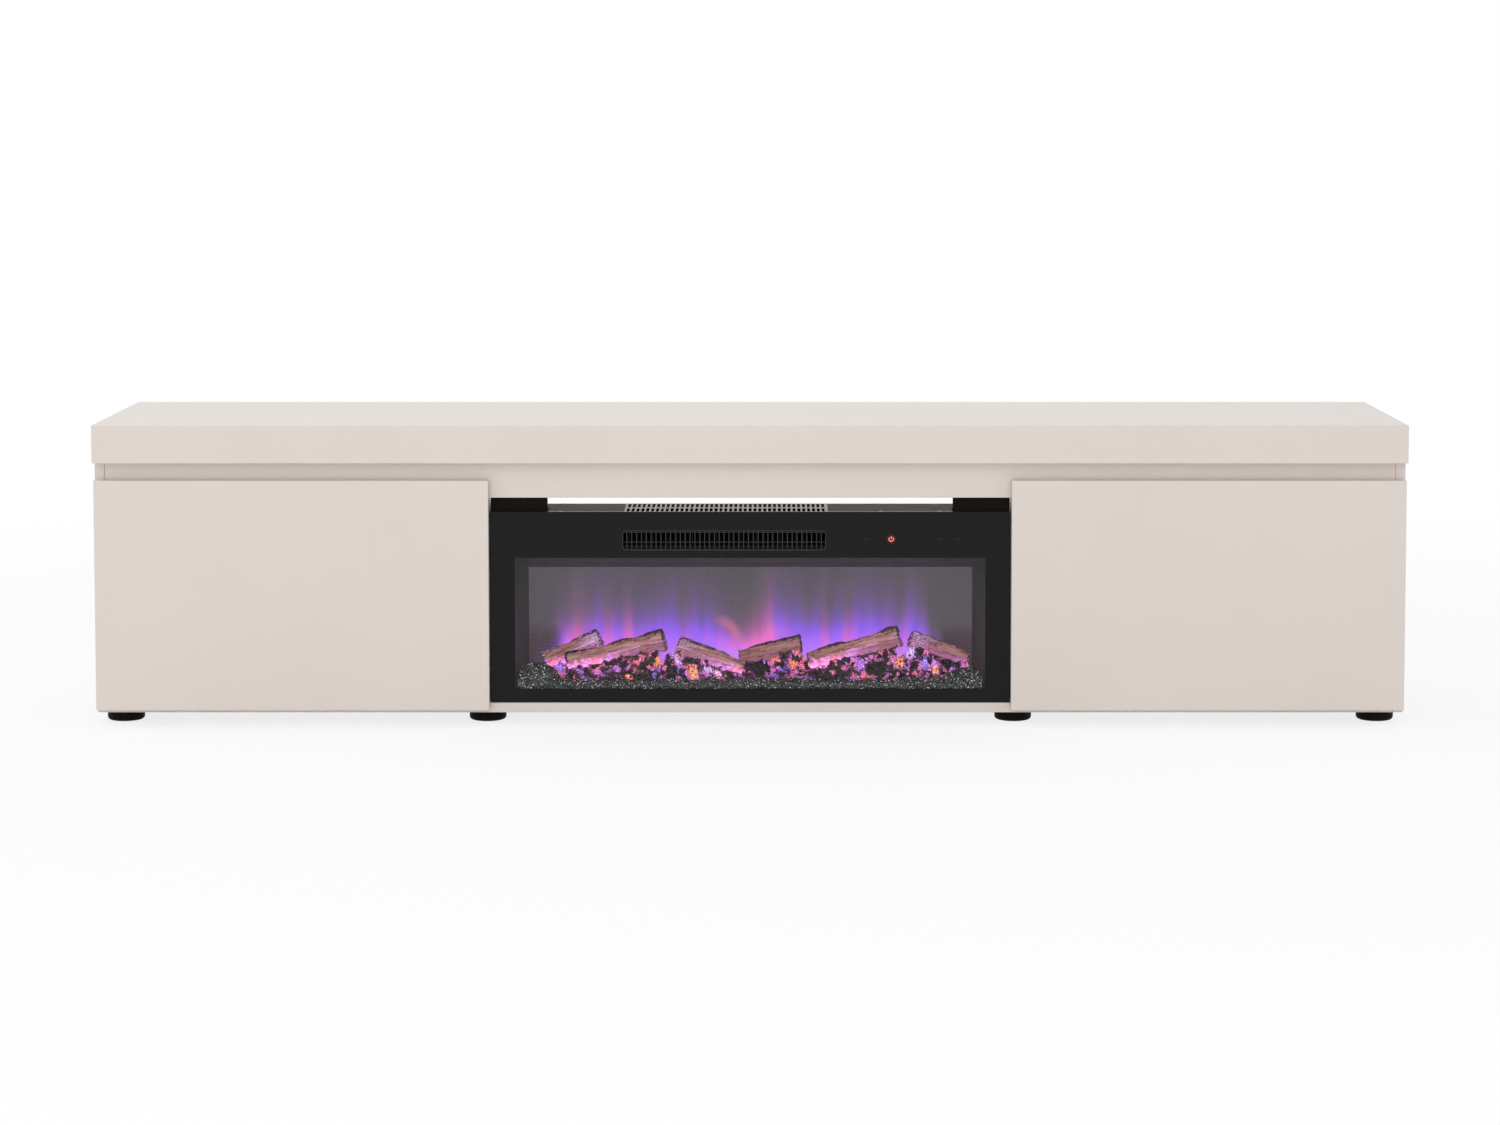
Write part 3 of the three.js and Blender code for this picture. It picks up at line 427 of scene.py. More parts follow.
def foot_rings(radius, height):
    """Radius and height of each ring, from the glide outwards and up to the board."""
    glide = FOOT_GLIDE_RADIUS + FOOT_GLIDE_RECESS
    rings = [(FOOT_GLIDE_RADIUS, FOOT_GLIDE_RECESS), (glide, FOOT_GLIDE_RECESS), (glide, 0)]
    for step in range(FOOT_EDGE_STEPS + 1):
        turn = math.pi / 2 * step / FOOT_EDGE_STEPS
        rings.append((
            radius - FOOT_LOWER_EDGE * (1 - math.sin(turn)), FOOT_LOWER_EDGE * (1 - math.cos(turn))))
    low, high = FOOT_GROOVE
    slope = FOOT_GROOVE_DEPTH / 4
    sunk = radius - FOOT_GROOVE_DEPTH
    rings += [(radius, low), (sunk, low + slope), (sunk, high - slope), (radius, high)]
    return rings + [(radius, height - FOOT_UPPER_EDGE), (radius - FOOT_UPPER_EDGE, height)]


low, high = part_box("foot_front_1")
bpy.ops.mesh.primitive_circle_add(vertices=FOOT_CORNERS, radius=FOOT_GLIDE_RADIUS, fill_type="NGON")
moulded_foot = named("moulded_foot")
with edited(moulded_foot, "FACE"):
    last_radius, last_height = FOOT_GLIDE_RADIUS, 0
    for radius, height in foot_rings((high.x - low.x) / 2, high.z - low.z):
        bpy.ops.mesh.extrude_region_move(TRANSFORM_OT_translate={"value": (0, 0, height - last_height)})
        growth = radius / last_radius
        bpy.ops.transform.resize(value=(growth, growth, 1), center_override=(0, 0, 0))
        last_radius, last_height = radius, height
    bpy.ops.mesh.select_all(action="SELECT")
    bpy.ops.mesh.normals_make_consistent(inside=False)
bpy.ops.object.shade_smooth_by_angle(angle=SMOOTH_ANGLE)
for row in ("front", "rear"):
    for number in range(1, 5):
        node = f"foot_{row}_{number}"
        low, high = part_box(node)
        middle = (low + high) / 2
        foot = copy_of(moulded_foot, f"{node}_moulded", Matrix.Translation((middle.x, middle.y, low.z)))
        hand_over(foot, black_plastic, "cabinet", "foot_plastic", node)
bpy.data.objects.remove(moulded_foot)

# Flaps
# Each flap is one banded board without a handle: it is opened by its upper edge, under the overhanging top.
# Two notches at the back of its lower edge make room for the hinges.
HINGE_NOTCH_WIDTH = 0.024
HINGE_NOTCH_DEPTH = 0.011
HINGE_NOTCH_HEIGHT = 0.018

for side_name in SIDES:
    node = f"{side_name}_flap"
    low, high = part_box(node)
    flap = block(f"{node}_banded", low, high)
    for number in (1, 2):
        leaf_low, leaf_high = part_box(f"{side_name}_hinge_leaf_{number}")
        middle = (leaf_low.x + leaf_high.x) / 2
        carve(flap, block(
            "notch",
            (middle - HINGE_NOTCH_WIDTH / 2, high.y - HINGE_NOTCH_DEPTH, low.z - BOARD_EDGE),
            (middle + HINGE_NOTCH_WIDTH / 2, high.y + BOARD_EDGE, low.z + HINGE_NOTCH_HEIGHT)))
    soften(flap, BOARD_EDGE)
    hand_over(flap, foil, node, "cashmere_board", node)

# Flap hinges and stays
# Pressed zinc-plated steel: cranked plates on the bottom, leaves on the flaps, and slotted stay arms that
# slide over a stud on each side panel. Countersunk cross-head screws hold them.
SCREW_RADIUS = 0.0034
SCREW_HEIGHT = 0.0011
SCREW_CORNERS = 24
SCREW_CROSS = 0.0007
SCREW_CROSS_REACH = SCREW_RADIUS * 0.6
SCREW_CROSS_DEPTH = 0.0006
SCREW_TURN = 0.7
SCREW_FROM_EDGE = 0.0065
LEAF_SCREW_ROWS = (SCREW_FROM_EDGE, 3.4 * SCREW_FROM_EDGE)
PLATE_SCREW_ROWS = (SCREW_FROM_EDGE, 4 * SCREW_FROM_EDGE)

for side_name in SIDES:
    coat(zinc, *(f"{side_name}_stay_{part}" for part in ("bracket", "arm", "stud")))
    coat(zinc, *(f"{side_name}_hinge_{part}_{number}" for part in ("leaf", "plate") for number in (1, 2)))

# The master's screw head lies on the ground plane, with its cross sunk into it
screw = rod("screw_head", SCREW_RADIUS, (0, 0, -SCREW_HEIGHT), (0, 0, SCREW_HEIGHT), SCREW_CORNERS)
soften(screw, SCREW_HEIGHT * 0.55, 3)
for turn in (0, math.pi / 2):
    arm = block("cross", (-SCREW_CROSS_REACH, -SCREW_CROSS / 2, SCREW_HEIGHT - SCREW_CROSS_DEPTH),
                (SCREW_CROSS_REACH, SCREW_CROSS / 2, SCREW_HEIGHT * 2))
    arm.data.transform(Matrix.Rotation(turn, 4, "Z"))
    carve(screw, arm)


def screws(name, places, facing, body):
    """Copies of the screw head at places on flat faces that look one way."""
    upright = Vector(facing).to_track_quat("Z", "Y").to_matrix().to_4x4()
    heads = [
        copy_of(screw, "screw_head",
                Matrix.Translation(place) @ upright @ Matrix.Rotation(SCREW_TURN * index, 4, "Z"))
        for index, place in enumerate(places)]
    return hand_over(unite(name, heads), zinc, body, "hinge_steel")


for side_name in SIDES:
    leaf_places = []
    plate_places = []
    for number in (1, 2):
        low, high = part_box(f"{side_name}_hinge_leaf_{number}")
        leaf_places += [
            (x, high.y, high.z - row)
            for x in (low.x + SCREW_FROM_EDGE, high.x - SCREW_FROM_EDGE) for row in LEAF_SCREW_ROWS]
        low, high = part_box(f"{side_name}_hinge_plate_{number}")
        plate_places += [
            (x, high.y - row, high.z)
            for x in (low.x + SCREW_FROM_EDGE, high.x - SCREW_FROM_EDGE) for row in PLATE_SCREW_ROWS]
    screws(f"{side_name}_hinge_leaf_screws", leaf_places, (0, 1, 0), f"{side_name}_flap")
    screws(f"{side_name}_hinge_plate_screws", plate_places, (0, 0, 1), "cabinet")

# Fire housing and its cover
# A folded steel box in speckled grey powder coat. The cover has two rows of louvred air slots over the
# blower, where the metal is painted light grey, more metallic and smoother as a painted highlight on the
# bars, and is held by small screws, as the box's back is.
POWDER_COLOUR = (0.16, 0.157, 0.152, 1)
POWDER_SPECK_COLOUR = (0.27, 0.266, 0.26, 1)
POWDER_SPECK_SIZE = 900.0
POWDER_METAL = 0.35
POWDER_ROUGHNESS = 0.5
# The louvre colour is a painted highlight: the bars are painted lighter, as where they catch the light
LOUVRE_HIGHLIGHT_COLOUR = (0.8, 0.8, 0.79, 1)
LOUVRE_METAL = 0.5
LOUVRE_POLISH = 0.18
LOUVRE_MARGIN_LEFT, LOUVRE_MARGIN_RIGHT = 0.006, 0.001
LOUVRE_MARGIN_FRONT, LOUVRE_MARGIN_BACK = 0.006, 0.008
HOUSING_SCREW_INSET = 0.009
HOUSING_SCREW_PITCH = 0.19
COVER_SCREWS_X = (-0.29, 0.2, 0.29)


def split_up(kind, sockets, **settings):
    """Each output of a node, as a pattern of its own."""
    return [Pattern(socket) for socket in combined(kind, sockets, **settings).socket.node.outputs]


def cells(place, size):
    """Rounded cells: how far a place is from its cell's middle, and the cell's own chance colour."""
    return split_up("ShaderNodeTexVoronoi", {"Vector": place, "Scale": size}, feature="F1")[:2]


def channels(colour):
    return split_up("ShaderNodeSeparateColor", {0: colour})


def axes(place):
    return split_up("ShaderNodeSeparateXYZ", {0: place})


def powder_coated(name, louvres=None):
    """Speckled grey paint. Louvres are a range in X and one in Y, within which a painted highlight makes the
    metal light grey, more metallic and smoother.
    """
    material, tree, shader = new_material(name, Metallic=POWDER_METAL, Roughness=POWDER_ROUGHNESS)
    place = object_place(tree)
    light = channels(cells(place, POWDER_SPECK_SIZE)[1])[0]
    colour = blend_colours(fade(light, 0.45, 1.0), POWDER_COLOUR, POWDER_SPECK_COLOUR)
    if louvres:
        inside = [
            work_out("GREATER_THAN", (along - edge) * sign, 0.0)
            for along, (low, high) in zip(axes(place), louvres) for edge, sign in ((low, 1), (high, -1))]
        inside = inside[0] * inside[1] * inside[2] * inside[3]
        # Painted highlight over the slots
        colour = blend_colours(inside, colour, LOUVRE_HIGHLIGHT_COLOUR)
        connect(inside * LOUVRE_METAL + POWDER_METAL, shader.inputs["Metallic"])
        connect(POWDER_ROUGHNESS - inside * LOUVRE_POLISH, shader.inputs["Roughness"])
    connect(colour, shader.inputs["Base Color"])
    bump(shader, noise(place, POWDER_SPECK_SIZE * 1.5), 0.25, 1 / POWDER_SPECK_SIZE)
    return material


outlet_low, outlet_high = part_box("outlet_grille")
cover_low, cover_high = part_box("fire_top_cover")
housing_low, housing_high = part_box("fire_housing")
coat(powder_coated("grey_powder_coat"), "fire_housing", "flame_led_tray")
coat(powder_coated("louvred_cover_coat", (
    (outlet_low.x + LOUVRE_MARGIN_LEFT, outlet_high.x - LOUVRE_MARGIN_RIGHT),
    (cover_low.y + LOUVRE_MARGIN_FRONT, cover_high.y - LOUVRE_MARGIN_BACK))), "fire_top_cover")
back_places = [
    (x, housing_high.y, z)
    for x in spaced(
        housing_low.x + HOUSING_SCREW_INSET, housing_high.x - HOUSING_SCREW_INSET, HOUSING_SCREW_PITCH)
    for z in (housing_low.z + HOUSING_SCREW_INSET, housing_high.z - HOUSING_SCREW_INSET)]
screws("housing_back_screws", back_places, (0, 1, 0), "cabinet")
cover_places = [
    (x, y, cover_high.z)
    for x in COVER_SCREWS_X
    for y in (cover_low.y + HOUSING_SCREW_INSET * 2, cover_high.y - HOUSING_SCREW_INSET)]
screws("cover_screws", cover_places, (0, 0, 1), "cabinet")
bpy.data.objects.remove(screw)

# Fixing brackets, gland, motors, blower wheel and heater
# Matt black painted angles that hold the fire to the rail, and the pieces inside the box, of which its slots
# let one see a little.
black_paint = surfaced(
    "matt_black_paint", (0.006, 0.0052, 0.0046, 1), (0.0085, 0.0074, 0.0066, 1), roughness=0.55,
    cloud_size=25.0, grain_size=900.0, grain_strength=0.25, Specular_IOR_Level=0.08)
coat(black_paint, "left_fixing_bracket", "right_fixing_bracket", "flame_motor", "blower_motor", "blower_duct")
coat(black_plastic, "cord_gland", "blower_wheel")
dark_fins = surfaced(
    "darkened_fins", (0.02, 0.02, 0.021, 1), (0.03, 0.029, 0.029, 1), roughness=0.6, cloud_size=60.0,
    grain_size=1200.0, grain_strength=0.15, spread=0.2, Specular_IOR_Level=0.15)
coat(dark_fins, "heater_element")
mirrored_foil = surfaced(
    "mirrored_foil", (0.85, 0.86, 0.87, 1), (0.76, 0.77, 0.79, 1), roughness=0.14, cloud_size=120.0,
    grain_size=500.0, grain_strength=0.25, spread=0.1, Metallic=1.0)
coat(mirrored_foil, "flame_spindle")


def circuit_laminate():
    """Green laminate with copper tracks that show through the lacquer."""
    material, tree, shader = new_material("circuit_laminate", Roughness=0.4)
    place = object_place(tree, (220.0, 220.0, 220.0))
    tracks = combined("ShaderNodeTexBrick", {"Vector": place, "Scale": 1.0, "Mortar Size": 0.06}, "Fac")
    colour = blend_colours(tracks, (0.022, 0.095, 0.045, 1), (0.07, 0.17, 0.07, 1))
    connect(colour, shader.inputs["Base Color"])
    return material


coat(circuit_laminate(), "control_board")

# Hood round the flames
# Thin dark grey sheet that narrows towards the screen, with a faint painted glow given to its paint. Through
# the glass its top and sides read as a frame round the picture of the flames.
# The emission is painted light: the sheet is no lamp, and the glow lifts it as if it were lit
liner = surfaced(
    "hood_paint_painted_glow", (0.04, 0.037, 0.039, 1), (0.033, 0.031, 0.033, 1), roughness=0.6, cloud_size=12.0,
    grain_size=800.0, grain_strength=0.2, Emission_Color=(0.025, 0.023, 0.024, 1), Emission_Strength=0.5)
coat(liner, "firebox_liner")

# Flame screen
# A frosted sheet, lit from behind through the turning paddles. The flames are soft upright tongues, lilac at
# their roots and violet blue above, with pinker ones between, and they fade into a warm grey.
SCREEN_GREY = (0.079, 0.068, 0.083, 1)
FLAME_ROOT_HEIGHT = 0.1
FLAME_REACH = 0.116
HIGHEST_REACH = 1.6
LAST_STOP = 1.5
CURL_MIDDLE_X, CURL_MIDDLE_Z = -0.055, 0.113
CURL_RADIUS = 0.036
CURL_HALF_WIDTH = 0.013
CURL_COLOUR = (0.8, 0.2, 0.28, 1)
CORNER_COLOUR = (0.05, 0.026, 0.036, 1)
screen_low, screen_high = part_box("flame_screen")

# From the root upwards: share of the reach and colour
BLUE_TONGUE = (
    (0.0, (0.5, 0.19, 0.92, 1)), (0.16, (0.39, 0.14, 0.96, 1)), (0.3, (0.25, 0.105, 0.8, 1)),
    (0.43, (0.178, 0.09, 0.44, 1)), (0.57, (0.137, 0.08, 0.25, 1)), (0.72, (0.112, 0.076, 0.155, 1)),
    (1.0, (0.088, 0.07, 0.1, 1)), (LAST_STOP, SCREEN_GREY))
PINK_TONGUE = (
    (0.0, (0.75, 0.25, 0.85, 1)), (0.16, (0.88, 0.155, 0.56, 1)), (0.3, (0.53, 0.125, 0.38, 1)),
    (0.43, (0.32, 0.1, 0.26, 1)), (0.57, (0.2, 0.09, 0.175, 1)), (0.72, (0.147, 0.083, 0.145, 1)),
    (1.0, (0.104, 0.077, 0.107, 1)), (LAST_STOP, SCREEN_GREY))

# Along the width: share of the width, how pink the tongue is, and its reach
FLAME_TONGUES = (
    (0.0, 0.0, 0.1), (0.045, 0.1, 0.25), (0.08, 0.35, 0.7), (0.12, 0.85, 1.0), (0.145, 0.45, 0.95),
    (0.165, 0.0, 1.1), (0.182, 0.6, 1.0), (0.203, 0.0, 1.0), (0.23, 0.7, 1.05), (0.25, 0.0, 0.95),
    (0.313, 0.0, 1.12), (0.355, 0.25, 1.0), (0.4, 0.0, 1.05), (0.44, 0.1, 0.75), (0.467, 0.65, 0.62),
    (0.49, 0.9, 0.62), (0.516, 0.95, 0.82), (0.532, 1.0, 1.15), (0.545, 0.8, 1.35), (0.558, 0.1, 1.35),
    (0.59, 0.0, 1.05), (0.645, 0.1, 0.95), (0.662, 0.55, 1.0), (0.685, 0.0, 0.95), (0.717, 0.4, 1.1),
    (0.74, 0.0, 1.2), (0.8, 0.0, 1.1), (0.828, 0.15, 0.95), (0.852, 0.1, 1.25), (0.878, 0.1, 0.9),
    (0.903, 0.1, 0.45), (0.94, 0.0, 0.12))


def ramp(value, stops, interpolation="LINEAR"):
    colours = combined("ShaderNodeValToRGB", {0: value})
    made = colours.socket.node.color_ramp
    made.interpolation = interpolation
    made.elements.remove(made.elements[1])
    for index, (place, colour) in enumerate(stops):
        stop = made.elements[0] if index == 0 else made.elements.new(place)
        stop.position = place
        stop.color = colour
    return colours


def away_from(place, x, z):
    """How far a place is from a spot, as seen from the front."""
    flat = combined("ShaderNodeVectorMath", {0: place, 1: (1, 0, 1)}, operation="MULTIPLY")
    return combined("ShaderNodeVectorMath", {0: flat, 1: (x, 0, z)}, "Value", operation="DISTANCE")


def give_light(shader, colour, strength=1.0):
    connect(colour, shader.inputs["Emission Color"])
    shader.inputs["Emission Strength"].default_value = strength


def flame_light():
    material, tree, shader = new_material(
        "flame_screen_light", Roughness=0.55, Specular_IOR_Level=0.3, Base_Color=(0.02, 0.02, 0.022, 1))
    place = object_place(tree)
    across, _, up = axes(place)
    waver = noise(object_place(tree, (22.0, 0.0, 14.0)), 1.0, 2.0)
    share = (across - screen_low.x) / (screen_high.x - screen_low.x) + (waver - 0.5) * 0.03
    pink, reach, _ = channels(ramp(share, [
        (at, (pink, reach / HIGHEST_REACH, 0, 1)) for at, pink, reach in FLAME_TONGUES], "EASE"))
    present = fade(reach, 0.08, 0.42)
    streak = noise(object_place(tree, (62.0, 0.0, 6.0)), 1.0, 3.0, 0.42)
    reach = reach * (streak * 0.6 + 0.68)
    rise = up - FLAME_ROOT_HEIGHT
    along = rise / (reach * (FLAME_REACH * HIGHEST_REACH)) / LAST_STOP
    hue_streak = noise(object_place(tree, (55.0, 0.0, 5.0)), 1.0, 3.0, 0.5)
    pink = work_out("ADD", pink, (hue_streak - 0.5) * 1.3, clamp=True)
    blue_part, pink_part = (
        ramp(along, [(at / LAST_STOP, tone) for at, tone in tongue]) for tongue in (BLUE_TONGUE, PINK_TONGUE))
    colour = blend_colours(present, SCREEN_GREY, blend_colours(pink, blue_part, pink_part))

    # A short reddish curl left of the middle
    band = abs(away_from(place, CURL_MIDDLE_X, CURL_MIDDLE_Z) - CURL_RADIUS)
    curl = fade(band, CURL_HALF_WIDTH, 0.0) * fade(across, CURL_MIDDLE_X - 0.01, CURL_MIDDLE_X + 0.025)
    curl = curl * fade(up, CURL_MIDDLE_Z - 0.006, CURL_MIDDLE_Z + 0.012)
    colour = blend_colours(curl * 0.45, colour, CURL_COLOUR)

    # The dim lower corners, where no lamp reaches
    corner = fade(abs(share - 0.5), 0.405, 0.435) * fade(rise, 0.05, 0.02)
    give_light(shader, blend_colours(corner * 0.75, colour, CORNER_COLOUR))
    return material


coat(flame_light(), "flame_screen")

# Logs
# Moulded split logs. Two smooth split faces meet in a crease towards the viewer, and rough dark bark follows
# the top and the back. The light under the bed shines through their lower sides, and their wood colour is
# also given out as painted light, with painted shade on the lower side.
LOG_CORNERS = 28
LOG_VOXEL = 0.0011
LOG_WORN_EDGE = 0.003
LOG_BARK_AT_ENDS = 0.004
LOG_TABLE = (
    # low end and high end of the axis (x, z), depth y, radius at each end, turn of the crease, frost on the
    # bark, and how strongly the bed lights it
    ((-0.3168, 0.0884), (-0.2322, 0.1218), -0.108, (0.0138, 0.0175), 0.25, 1.0, 1.3),
    ((-0.2808, 0.0925), (-0.1332, 0.1279), -0.1463, (0.0132, 0.0158), 0.0, 0.1, 1.35),
    ((-0.1134, 0.1188), (-0.0108, 0.0833), -0.1463, (0.0165, 0.0105), 0.1, 0.8, 1.1),
    ((-0.018, 0.0945), (0.0792, 0.1147), -0.108, (0.0118, 0.0146), 0.0, 0.1, 0.12),
    ((0.09, 0.0945), (0.2286, 0.134), -0.1463, (0.0128, 0.0156), 0.0, 0.15, 1.35),
    ((0.2484, 0.1249), (0.3366, 0.0925), -0.108, (0.0138, 0.0105), 0.2, 1.0, 0.3),
)
UPPER_SPLIT = (0.42, 0.74)
LOWER_SPLIT = (-0.62, 0.76)
WOOD_COLOUR = (0.33, 0.155, 0.14, 1)
WOOD_DARK_COLOUR = (0.16, 0.07, 0.066, 1)
WOOD_PALE_COLOUR = (0.43, 0.235, 0.22, 1)
# Painted light: the share of the wood's colour that is given out as light, and its least level on a log that
# the bed hardly lights
WOOD_PAINTED_LIGHT = (0.56, 0.5, 0.54)
WOOD_PAINTED_LIGHT_UNLIT = 0.66
# Painted shade, which takes the place of the painted light on the lower side of well-lit logs
WOOD_SHADE_COLOUR = (0.045, 0.018, 0.022, 1)
BARK_COLOUR = (0.085, 0.052, 0.048, 1)
CRACK_COLOUR = (0.008, 0.006, 0.006, 1)
FROST_COLOUR = (0.68, 0.46, 0.95, 1)
GLOW_COLOUR = (1.0, 0.2, 0.45, 1)
GLOW_LILAC = (0.8, 0.26, 1.0, 1)


def rough_texture(name, kind, size):
    texture = bpy.data.textures.new(name, kind)
    texture.noise_scale = size
    return texture


rough = rough_texture("log_lumps", "CLOUDS", 0.03)
fibres = rough_texture("log_fibres", "CLOUDS", 0.003)
fibres.noise_depth = 3
bark_cracks = rough_texture("bark_cracks", "VORONOI", 0.006)


def slice_off(piece, *cuts):
    """Cuts away what lies beyond each plane, which is given by a point and its outward way."""
    with edited(piece):
        for point, outward in cuts:
            bpy.ops.mesh.select_all(action="SELECT")
            bpy.ops.mesh.bisect(plane_co=point, plane_no=outward, use_fill=True, clear_outer=True)


def split_log(number, length, radii, crease_turn):
    """A log along X at the origin, with its two split faces towards the viewer."""
    bpy.ops.mesh.primitive_cone_add(
        vertices=LOG_CORNERS, radius1=radii[0], radius2=radii[1], depth=length, rotation=(0, math.pi / 2, 0))
    log = named(f"split_log_{number}")
    mean = sum(radii) / 2
    for turn, offset in (UPPER_SPLIT, LOWER_SPLIT):
        outward = Vector((0, -math.cos(turn + crease_turn), math.sin(turn + crease_turn)))
        slice_off(log, (outward * mean * offset, outward))
    soften(log, LOG_WORN_EDGE, 2)
    run_modifier(log, "REMESH", mode="VOXEL", voxel_size=LOG_VOXEL)
    bark = log.vertex_groups.new(name="bark")
    for vertex in log.data.vertices:
        at_end = abs(vertex.co.x) > length / 2 - LOG_BARK_AT_ENDS
        covered = vertex.co.y > 0 or vertex.co.z > mean * 0.7 or at_end
        bark.add([vertex.index], 1.0 if covered else 0.0, "REPLACE")
    guide = bpy.data.objects.new("grain_guide", None)
    bpy.context.collection.objects.link(guide)
    guide.location = (0.31 * number, 0, 0)
    for stretch, texture, strength, where in (
            (1.5, rough, 0.011, ""), (9, fibres, 0.0022, ""), (2, bark_cracks, 0.0035, "bark")):
        guide.scale = (stretch, 1, 1)
        bpy.context.view_layer.update()
        run_modifier(log, "DISPLACE", texture=texture, texture_coords="OBJECT", texture_coords_object=guide,
                     strength=strength, mid_level=0.5, vertex_group=where)
    bpy.data.objects.remove(guide)
    log.vertex_groups.clear()
    bpy.ops.object.shade_smooth()
    return log


def split_wood(number, centre, tilt, length, radius, crease_turn, frost, lit):
    """Wood grain along one log, its bark, the glow from below, and the wood's colour given out as painted
    light with painted shade below.
    """
    material, tree, shader = new_material(f"split_wood_{number}", Roughness=0.62)

    def along_log(*stretch):
        return object_place(tree, stretch, (0, -tilt, 0), centre)

    straight = along_log(1.0, 1.0, 1.0)
    along, depth, height = axes(straight)
    grain = noise(along_log(24.0, 430.0, 430.0), 1.0, 4.0, 0.65)
    bands = noise(along_log(9.0, 130.0, 130.0), 1.0)
    ragged = (noise(straight, 170.0) - 0.5) * radius
    colour = blend_colours(fade(grain, 0.36, 0.6), WOOD_DARK_COLOUR, WOOD_COLOUR)
    colour = blend_colours(fade(bands, 0.52, 0.66) * 0.8, colour, WOOD_PALE_COLOUR)
    colour = blend_colours(fade(abs(bands - 0.46), 0.012, 0.003), colour, CRACK_COLOUR)
    uphill = -math.copysign(1.0, tilt)
    raised = fade(along * uphill, 0.0, length * 0.45)
    glitter = fade(noise(along_log(420.0, 700.0, 700.0), 1.0), 0.44, 0.62) * raised * frost ** 3
    colour = blend_colours(glitter * 0.9, colour, FROST_COLOUR)

    # Bark on top, behind and round the sawn ends
    upper = fade(height + ragged * 0.7, radius * 0.84, radius * 0.97)
    behind = fade(depth + ragged, 0.0, radius * 0.2)
    sawn = fade(abs(along) + ragged * 0.3, length / 2 - 0.003, length / 2 - 0.0008)
    bark = work_out("MAXIMUM", work_out("MAXIMUM", upper, behind), sawn)
    bark_tone = blend_colours(fade(cells(straight, 300.0)[0], 0.15, 0.6), BARK_COLOUR, CRACK_COLOUR)
    frosted = fade(noise(along_log(110.0, 420.0, 420.0), 1.0), 0.52, 0.62) * frost * (sawn * 0.5 + 0.4)
    bark_tone = blend_colours(frosted, bark_tone, FROST_COLOUR)
    colour = blend_colours(bark, colour, bark_tone)
    connect(colour, shader.inputs["Base Color"])

    # The bed's light on the lower side, strongest at the low end, and along the crease
    low = fade(height + ragged * 1.4, radius * 0.3, -radius * 0.7)
    patchy = fade(noise(straight, 75.0), 0.35, 0.6)
    sunk = fade(along * -uphill, -length * 0.35, length * 0.5)
    crease = abs(height - radius * math.sin(crease_turn) * 0.8 + ragged * 0.12)
    tinted = noise(straight, 45.0)
    line = fade(crease, 0.0011, 0.0005) * fade(tinted, 0.42, 0.55)
    glow = (low * ((patchy + 0.4) * sunk + 0.08) + line * 0.28) * lit
    hue = blend_colours(fade(tinted, 0.42, 0.58), GLOW_COLOUR, GLOW_LILAC)
    light = blend_colours(1.0, hue, glow * (grain + 0.6), "MULTIPLY")
    # Painted light: the wood's own colour glows so that the log looks lit, less on logs that the bed lights
    # little, and painted shade takes its place on the lower side
    shine = WOOD_PAINTED_LIGHT_UNLIT + (1 - WOOD_PAINTED_LIGHT_UNLIT) * min(lit, 1)
    own = blend_colours(1.0, colour, (*(part * shine for part in WOOD_PAINTED_LIGHT), 1), "MULTIPLY")
    own = blend_colours(low * min(lit, 1), own, WOOD_SHADE_COLOUR)
    give_light(shader, blend_colours(1.0, own, light, "ADD"))
    bump(shader, grain, 0.7, 0.0006)
    return material


for number, (low_end, high_end, depth, radii, crease_turn, frost, lit) in enumerate(LOG_TABLE, 1):
    low_end, high_end = (Vector((x, depth, z)) for x, z in (low_end, high_end))
    axis = high_end - low_end
    middle = (low_end + high_end) / 2
    tilt = -math.atan2(axis.z, axis.x)
    log = split_log(number, axis.length, radii, crease_turn)
    log.data.transform(Matrix.Translation(middle) @ Matrix.Rotation(tilt, 4, "Y"))
    wood = split_wood(number, middle, tilt, axis.length, sum(radii) / 2, crease_turn, frost, lit)
    hand_over(log, wood, "cabinet", "log_resin", f"log_{number}")

# Ember bed
# One moulding of heaped embers that the light shines through: dark crusts between glowing pink, orange and
# blue-violet hollows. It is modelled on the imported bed, whose hollows fit the logs.
EMBER_VOXEL = 0.0021
EMBER_CRUST = (0.016, 0.012, 0.014, 1)
EMBER_ASH = (0.24, 0.19, 0.21, 1)
EMBER_CORE = (1.0, 0.72, 0.9, 1)
EMBER_FOOT = (0.056, 0.08)
EMBER_STRENGTH = 1.15
EMBER_SEED = 3
EMBER_FLOOR_GAP = 0.003
EMBER_LUMP_DEPTH = 0.007
EMBER_CHIP_HEIGHT = 0.003
SCREEN_GAP = 0.0007
MERGED_WITHIN = 0.00001
HEAP_CORNERS = 12
HEAP_PITCH = 0.011
HEAP_ALONG_LOG = (0.04, 0.93)
HEAP_COVER = (0.35, 1.05)
HEAP_HALF_WIDTH = (0.008, 0.013)
HEAP_HALF_DEPTH = 0.012
HEAP_FORWARD = 0.004
HEAPS_BETWEEN_DEPTH = -0.13
HEAPS_BETWEEN = ((-0.126, 0.103), (-0.115, 0.106), (0.224, 0.103), (0.234, 0.1), (0.245, 0.106))
EMBER_HUES = (
    (0.34, (0.35, 0.12, 1.0, 1)), (0.46, (0.85, 0.2, 0.95, 1)), (0.56, (1.0, 0.17, 0.5, 1)),
    (0.66, (1.0, 0.2, 0.22, 1)), (0.75, (1.0, 0.3, 0.1, 1)))
